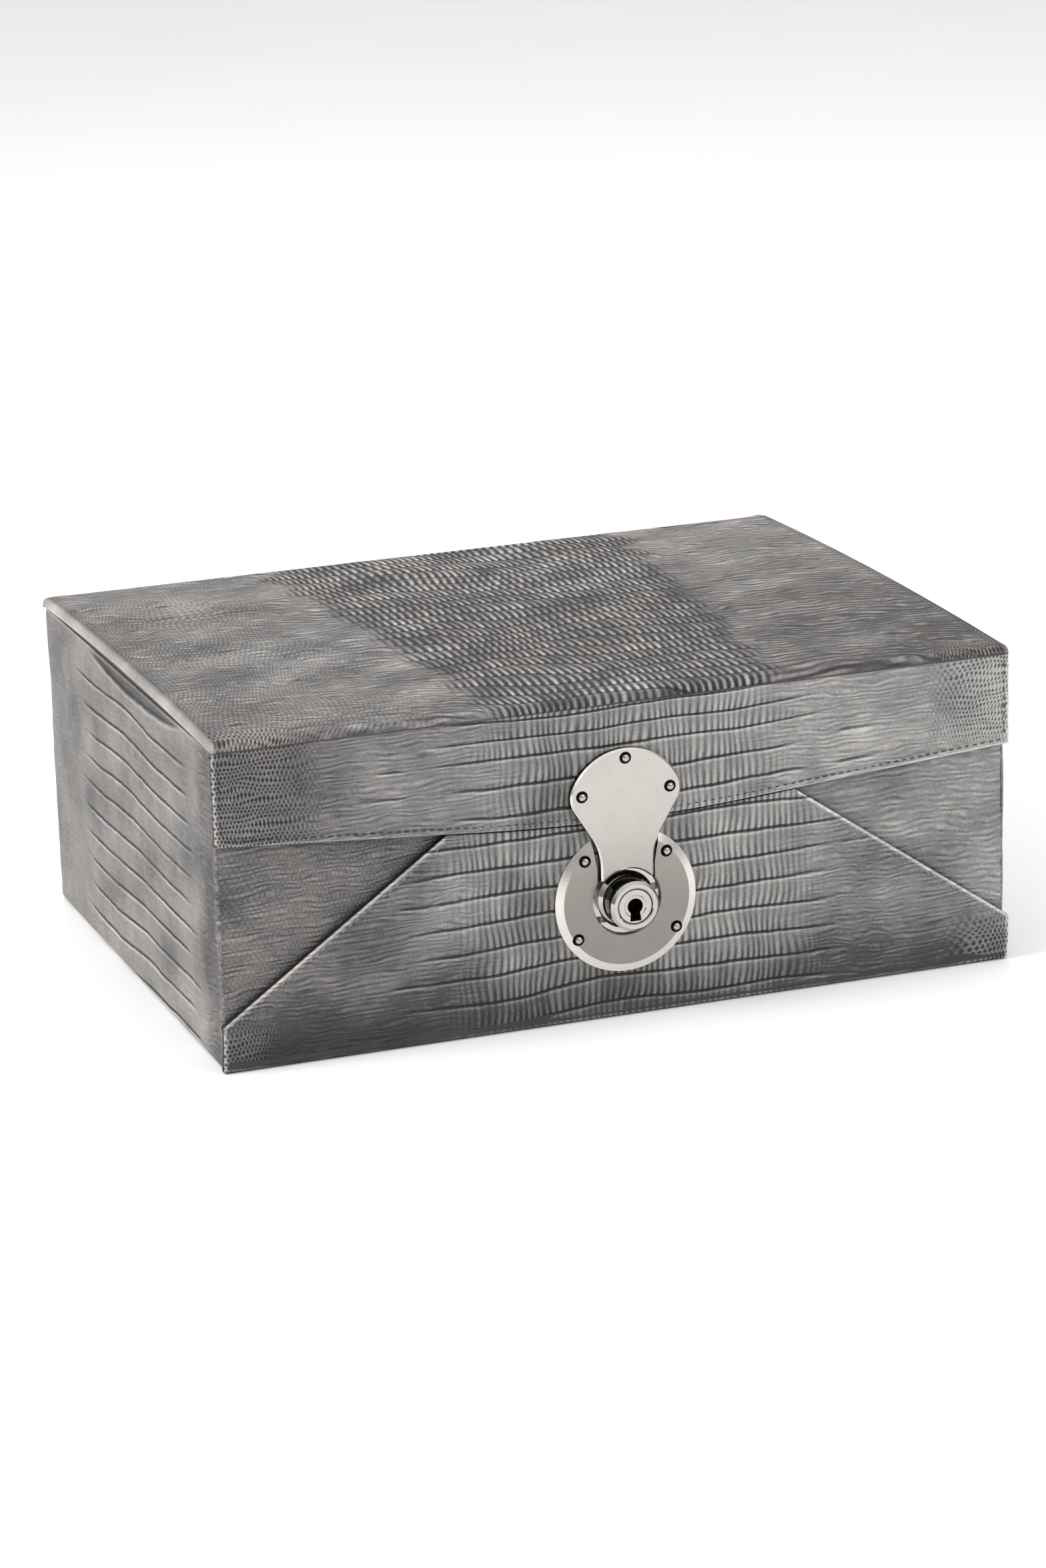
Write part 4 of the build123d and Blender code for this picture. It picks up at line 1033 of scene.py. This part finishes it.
def keyway():
    """Lining of the keyhole, with its floor and two wards, made of near-black iron as painted shade inside
    the keyway.
    """
    radius, neck, foot_x, foot = 2.84, 1.5, 2.0, 5.32
    start = math.asin(neck / radius)
    turn = np.linspace(-math.pi / 2 + start, 1.5 * math.pi - start, 33)
    outline = [(radius * math.cos(t), radius * math.sin(t)) for t in turn]
    outline += [(-foot_x, -foot), (foot_x, -foot)]
    front_y = span("lock_plug")[0][1] + 0.34
    count = len(outline)
    points, faces = [], []
    for depth, size in ((0, 1.0), (0.5, 0.94), (5.8, 0.94)):
        points += [(x * size, front_y + depth, LOCK_Z + z * size) for x, z in outline]
    for ring in (0, count):
        for i in range(count):
            j = (i + 1) % count
            faces.append((ring + i, ring + j, ring + count + j, ring + count + i))
    faces.append(tuple(range(2 * count, 3 * count)))
    block = ((0, 1, 3, 2), (4, 6, 7, 5), (0, 4, 5, 1), (2, 3, 7, 6), (0, 2, 6, 4), (1, 5, 7, 3))
    for side in (-1, 1):
        first = len(points)
        corners = product((side * 0.5, side * 1.5), (-3.2, -4.1), (1.6, 5.7))
        points += [(x, front_y + depth, LOCK_Z + z) for x, z, depth in corners]
        faces += [tuple(first + i for i in face) for face in block]
    obj = mesh_object("keyhole_shade_lining", points, faces, SHADE_IRON, False)
    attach(obj, "lock_core")


def rivet_shade_rings():
    """Dark rings round each rivet: painted shade at the foot of the dome."""
    steps = 36
    turn = np.linspace(0, 2 * math.pi, steps, endpoint=False)[:, None]
    out = np.array((-0.10, -0.10, 0.25, 0.50, 0.56))
    deep = np.array((0.30, -0.10, -0.20, -0.06, 0.30))
    for word, body in (("hasp", "lid"), ("lock", "lower_drawer")):
        front_y = span(word + "_plate")[0][1]
        shapes = []
        for low, high in parts(word + "_rivets"):
            x, _, z = (low + high) / 2
            wide = (high[0] - low[0]) / 2 + out
            ring = (x + wide * np.cos(turn), front_y + deep, z + wide * np.sin(turn))
            points = grid(*ring).reshape(-1, 3)
            shapes.append((points, loop_faces(steps, len(out))))
        joined(word + "_rivets_shade_rings", shapes, SHADE_IRON, body)


keyway()
rivet_shade_rings()


# ---------------------------------------------------------------- padded and covered parts

def edge_lines(low, high, radius, pitch):
    """Grid lines across a box, close together where its edges are rounded."""
    near = radius * (1 - np.tan(np.radians([45, 30, 15, 0])))
    middle = spread(low + radius, high - radius, pitch)[1:-1]
    return np.concatenate([low + near, middle, high - near[::-1]])


def rounded_box(low, high, radius, pitch):
    """Points and faces of a box with rounded edges."""
    lines = [edge_lines(a, b, radius, pitch) for a, b in zip(low, high)]
    blocks, quads = [], []
    count = 0
    for axis in range(3):
        u, v = (axis + 1) % 3, (axis + 2) % 3
        for end, turn in ((low[axis], -1), (high[axis], 1)):
            a, b = np.meshgrid(lines[u], lines[v], indexing="ij")
            face = np.zeros((*a.shape, 3))
            face[..., axis], face[..., u], face[..., v] = end, a, b
            blocks.append(face.reshape(-1, 3))
            quads.append(grid_faces(*a.shape).reshape(-1, 4)[:, ::turn] + count)
            count += a.size
    points = np.concatenate(blocks)
    _, first, same = np.unique(np.round(points, 4), axis=0, return_index=True, return_inverse=True)
    points = points[first]
    core = np.clip(points, np.array(low) + radius, np.array(high) - radius)
    outward = points - core
    outward /= np.linalg.norm(outward, axis=1)[:, None]
    return core + outward * radius, same.reshape(-1)[np.concatenate(quads)].tolist()


def pad_shape(low, high, seed):
    """A thin foam pad under suede, crowned in the middle and sinking to soft rolled edges."""
    gap = 0.12
    low = low + np.array([gap, gap, 0])
    high = high - np.array([gap, gap, 0])
    points, faces = rounded_box(low, high, 0.46 * (high[2] - low[2]), 3.4)
    edge = np.minimum(points[:, :2] - low[:2], high[:2] - points[:, :2]).min(axis=1)
    raised = (points[:, 2] - low[2]) / (high[2] - low[2])
    uneven = 0.5 + 0.5 * waves(points[:, 0], points[:, 1], 34, seed)
    sink = 0.75 * smooth(11, 0, edge) ** 1.4 + 0.22 * np.clip(uneven, 0, 1)
    points[:, 2] -= raised * sink
    return points, faces


def pads():
    """Foam pads of the compartments, the wells, the drawers and the tray."""
    places = {
        "compartment_pad": "case", "well_pads": "case", "lower_drawer_pad": "lower_drawer",
        "upper_drawer_pad": "upper_drawer", "tray_pad": "tray",
    }
    for seed, (node, body) in enumerate(places.items(), 201):
        shapes = [pad_shape(*box, seed + 10 * i) for i, box in enumerate(parts(node))]
        joined(node + "_soft", shapes, SUEDE, body, node)


def roll_shape(low, high, seed):
    """One stuffed ring roll: full in the middle, drawn in and gathered at both ends."""
    sides, end = 32, 8.0
    steps = end * (1 - np.cos(np.linspace(0.12, math.pi / 2, 9)))
    middle = spread(low[0] + end, high[0] - end, 4.0)[1:-1]
    x = np.concatenate([low[0] + steps, middle, high[0] - steps[::-1]])
    near = np.clip(1 - np.minimum(x - low[0], high[0] - x) / end, 0, 1)[:, None]
    angle = np.linspace(0, 2 * math.pi, sides, endpoint=False)[None]
    size = np.sqrt(1 - near**2) * (1 - 0.05 * near * np.cos(11 * angle + seed))
    size = size * (1 - 0.02 * np.clip(1 + waves(x[:, None], 9 * np.cos(angle), 26, seed), 0, 2))
    centre = (low + high) / 2
    half = (high - low) / 2
    power = 0.78
    wide = -np.sign(np.cos(angle)) * abs(np.cos(angle)) ** power
    tall = np.sign(np.sin(angle)) * abs(np.sin(angle)) ** power
    points = np.zeros((len(x), sides, 3))
    points[..., 0] = x[:, None]
    points[..., 1] = centre[1] + half[1] * size * wide
    points[..., 2] = centre[2] - 1.2 * near + half[2] * size * np.maximum(tall, -0.94)
    points[..., 2] = np.maximum(points[..., 2], low[2])
    return points.reshape(-1, 3), tube_faces(len(x), sides)


def ring_rolls():
    """The row of padded rolls that holds rings between them."""
    shapes = [roll_shape(*box, seed) for seed, box in enumerate(parts("ring_rolls"), 220)]
    joined("ring_rolls_soft", shapes, SUEDE, "tray", "ring_rolls")


def ribbon_pull():
    """A ribbon doubled over into a tab, with raised ribs across it and thicker woven edges."""
    low, high = span("upper_drawer_pull")
    half = 0.18
    front_y, back_y = low[1] + half + 0.02, high[1] - half - 0.02
    turn = (back_y - front_y) / 2
    fall = np.arange(high[2] - 0.2, low[2] + turn + half, -0.35)
    path = [(front_y, z, -1.0, 0.0) for z in fall]
    for angle in np.linspace(0, math.pi, 7)[1:-1]:
        place = (back_y - turn - turn * math.cos(angle), fall[-1] - turn * math.sin(angle))
        path.append((*place, -math.cos(angle), -math.sin(angle)))
    path += [(back_y, z, 1.0, 0.0) for z in fall[::-1]]
    path = np.array(path)
    across = np.append(np.linspace(low[0], high[0], 15), np.linspace(high[0], low[0], 15))
    face = np.repeat([1.0, -1.0], 15)
    rib = 0.75 + 0.25 * np.cos(math.pi * np.arange(len(path)))[:, None]
    inside = smooth(0, 0.7, 7 - abs(across))
    lift = half * face * (0.45 + 0.55 * inside) * rib
    y, z, ny, nz = path.T[..., None]
    points = grid(across, y + ny * lift, z + nz * lift)
    shape = (points.reshape(-1, 3), tube_faces(len(path), len(across)))
    joined("upper_drawer_ribbon", [shape], RIBBON, "upper_drawer", "upper_drawer_pull")


def lining():
    """Suede round the mirror's frame, following the lid's arched underside."""
    low, high = span("lid_lining")
    frame_low, frame_high = span("lid_frame")
    thick = 0.4
    arch = high[2] - low[2] - thick
    ring = rectangle(spread(low[0], high[0], 6.0), spread(low[1], high[1], 5.0))
    inner = frame_low[:2] + (ring - low[:2]) / (high[:2] - low[:2]) * (frame_high[:2] - frame_low[:2])
    inner = ring + (inner - ring) * 0.96
    section = (
        (0.0, 0.35), (0.04, 0.1), (0.12, 0.0), (0.5, 0.05),
        (0.88, 0.0), (0.96, 0.1), (1.0, 0.35), (0.5, 0.4),
    )
    points = np.zeros((len(ring), len(section), 3))
    for i, (share, lift) in enumerate(section):
        place = ring + (inner - ring) * share
        points[:, i, :2] = place
        points[:, i, 2] = high[2] - thick - arch * (place[:, 1] / BACK) ** 2 + lift
    faces = loop_faces(len(ring), len(section))
    joined("lid_lining_suede", [(points.reshape(-1, 3), faces)], SUEDE, "lid", "lid_lining")


def mirror_frame():
    """Suede-wrapped frame with soft edges round the mirror, and the lip that holds the glass."""
    low, high = span("lid_frame")
    glass_low, glass_high = span("mirror")
    outer = high[:2]
    rebate = glass_high[:2]
    window = rebate - 3.0
    top = TOP_EDGE - LID_EDGE
    back, face = glass_high[2], low[2]
    section = (
        (outer, 0.0, top), (outer, 0.0, face + 1.2), (outer, 0.35, face + 0.35), (outer, 1.2, face),
        (window, -1.2, face), (window, -0.35, face + 0.35), (window, 0.0, face + 1.2),
        (window, 0.0, glass_low[2] - 0.3), (window, -0.3, glass_low[2]),
        (rebate, 0.0, glass_low[2]), (rebate, 0.0, back), (rebate, -4.0, top),
    )
    x = spread(-1.0, 1.0, 0.05)
    ring = rectangle(x, x)
    points = np.zeros((len(ring), len(section), 3))
    for i, (reach, inset, z) in enumerate(section):
        points[:, i, :2] = ring * (reach - inset)
        points[:, i, 2] = z
    soft = 0.12 * np.clip(1 + waves(points[..., 0], points[..., 1], 45, 240), 0, 2)
    points[..., 2] += soft * (points[..., 2] < face + 0.5)
    faces = loop_faces(len(ring), len(section))
    joined("mirror_frame_suede", [(points.reshape(-1, 3), faces)], SUEDE, "lid", "lid_frame")


COVERED_BOARDS = {
    "case": (
        "left_wall", "right_wall", "front_post_left", "front_post_right", "front_rail",
        "tunnel_left", "tunnel_right", "tunnel_roof", "drawer_runners", "tray_rails",
        "long_divider", "cross_dividers",
    ),
    "lower_drawer": ("drawer_front_core", "lower_drawer_sides", "lower_drawer_back", "lower_drawer_bottom"),
    "upper_drawer": ("upper_drawer_front", "upper_drawer_sides", "upper_drawer_back", "upper_drawer_bottom"),
    "tray": ("tray_bottom", "tray_ends", "tray_sides", "tray_divider"),
}
BARE_BOARDS = ("front_rail",)
PALE_BOARDS = ("long_divider", "cross_dividers", "tray_divider", "upper_drawer_front")


def board_shape(low, high, seed):
    """A board wrapped in suede: rounded edges and a face that is not quite flat."""
    points, faces = rounded_box(low, high, 0.5, 9.0)
    middle = (low + high) / 2
    inward = np.sign(middle - points) * (abs(points - middle) > (high - low) / 2 - 0.01)
    dip = 0.5 + 0.5 * waves(points[:, 0] + points[:, 1], points[:, 2] + points[:, 1] / 3, 40, seed)
    return points + inward * 0.10 * np.clip(dip, 0, 1)[:, None], faces


def covered_boards():
    """Suede-covered boards of the case, the drawers and the tray."""
    seed = 300
    for body, names in COVERED_BOARDS.items():
        for name in names:
            shapes = []
            for low, high in parts(name):
                seed += 1
                shapes.append(board_shape(low, high, seed))
            material = PAPER_BOARD if name in BARE_BOARDS else SUEDE if name in PALE_BOARDS else SUEDE_DEEP
            joined(name + "_covered", shapes, material, body, name)


pads()
ring_rolls()
ribbon_pull()
lining()
mirror_frame()
covered_boards()


# ---------------------------------------------------------------- materials on the CAD nodes

FINISHES = {
    "base_leather": PLAIN_LEATHER,
    "hasp_plate": HASP_NICKEL,
    "lock_plate": PLATE_NICKEL,
    "hasp_rivets": RIVET_NICKEL,
    "lock_rivets": RIVET_NICKEL,
    "lock_housing": BARREL_NICKEL,
    "lock_plug": BARREL_NICKEL,
    "hasp_catch": STEEL,
    "lock_case": STEEL,
    "lock_cam": STEEL,
    "mirror": MIRROR,
    "upper_drawer_pull": RIBBON,
}
SUEDE_NODES = ("lid_frame", "lid_lining", "flap_board", "tray_divider", "long_divider", "cross_dividers")
PAPER_NODES = ("base_board", "back_wall", "front_rail", "lid_board", "drawer_front_board")


def finish_nodes():
    """Give every CAD node that shows its own material."""
    for name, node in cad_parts.items():
        if name in FINISHES:
            material = FINISHES[name]
        elif name.startswith("hinge") or name == "lid_hinge_screws":
            material = NICKEL
        elif name in SUEDE_NODES or "pad" in name:
            material = SUEDE
        elif name in PAPER_NODES:
            material = PAPER_BOARD
        else:
            material = SUEDE_DEEP
        node.data.materials.clear()
        node.data.materials.append(material)


finish_nodes()
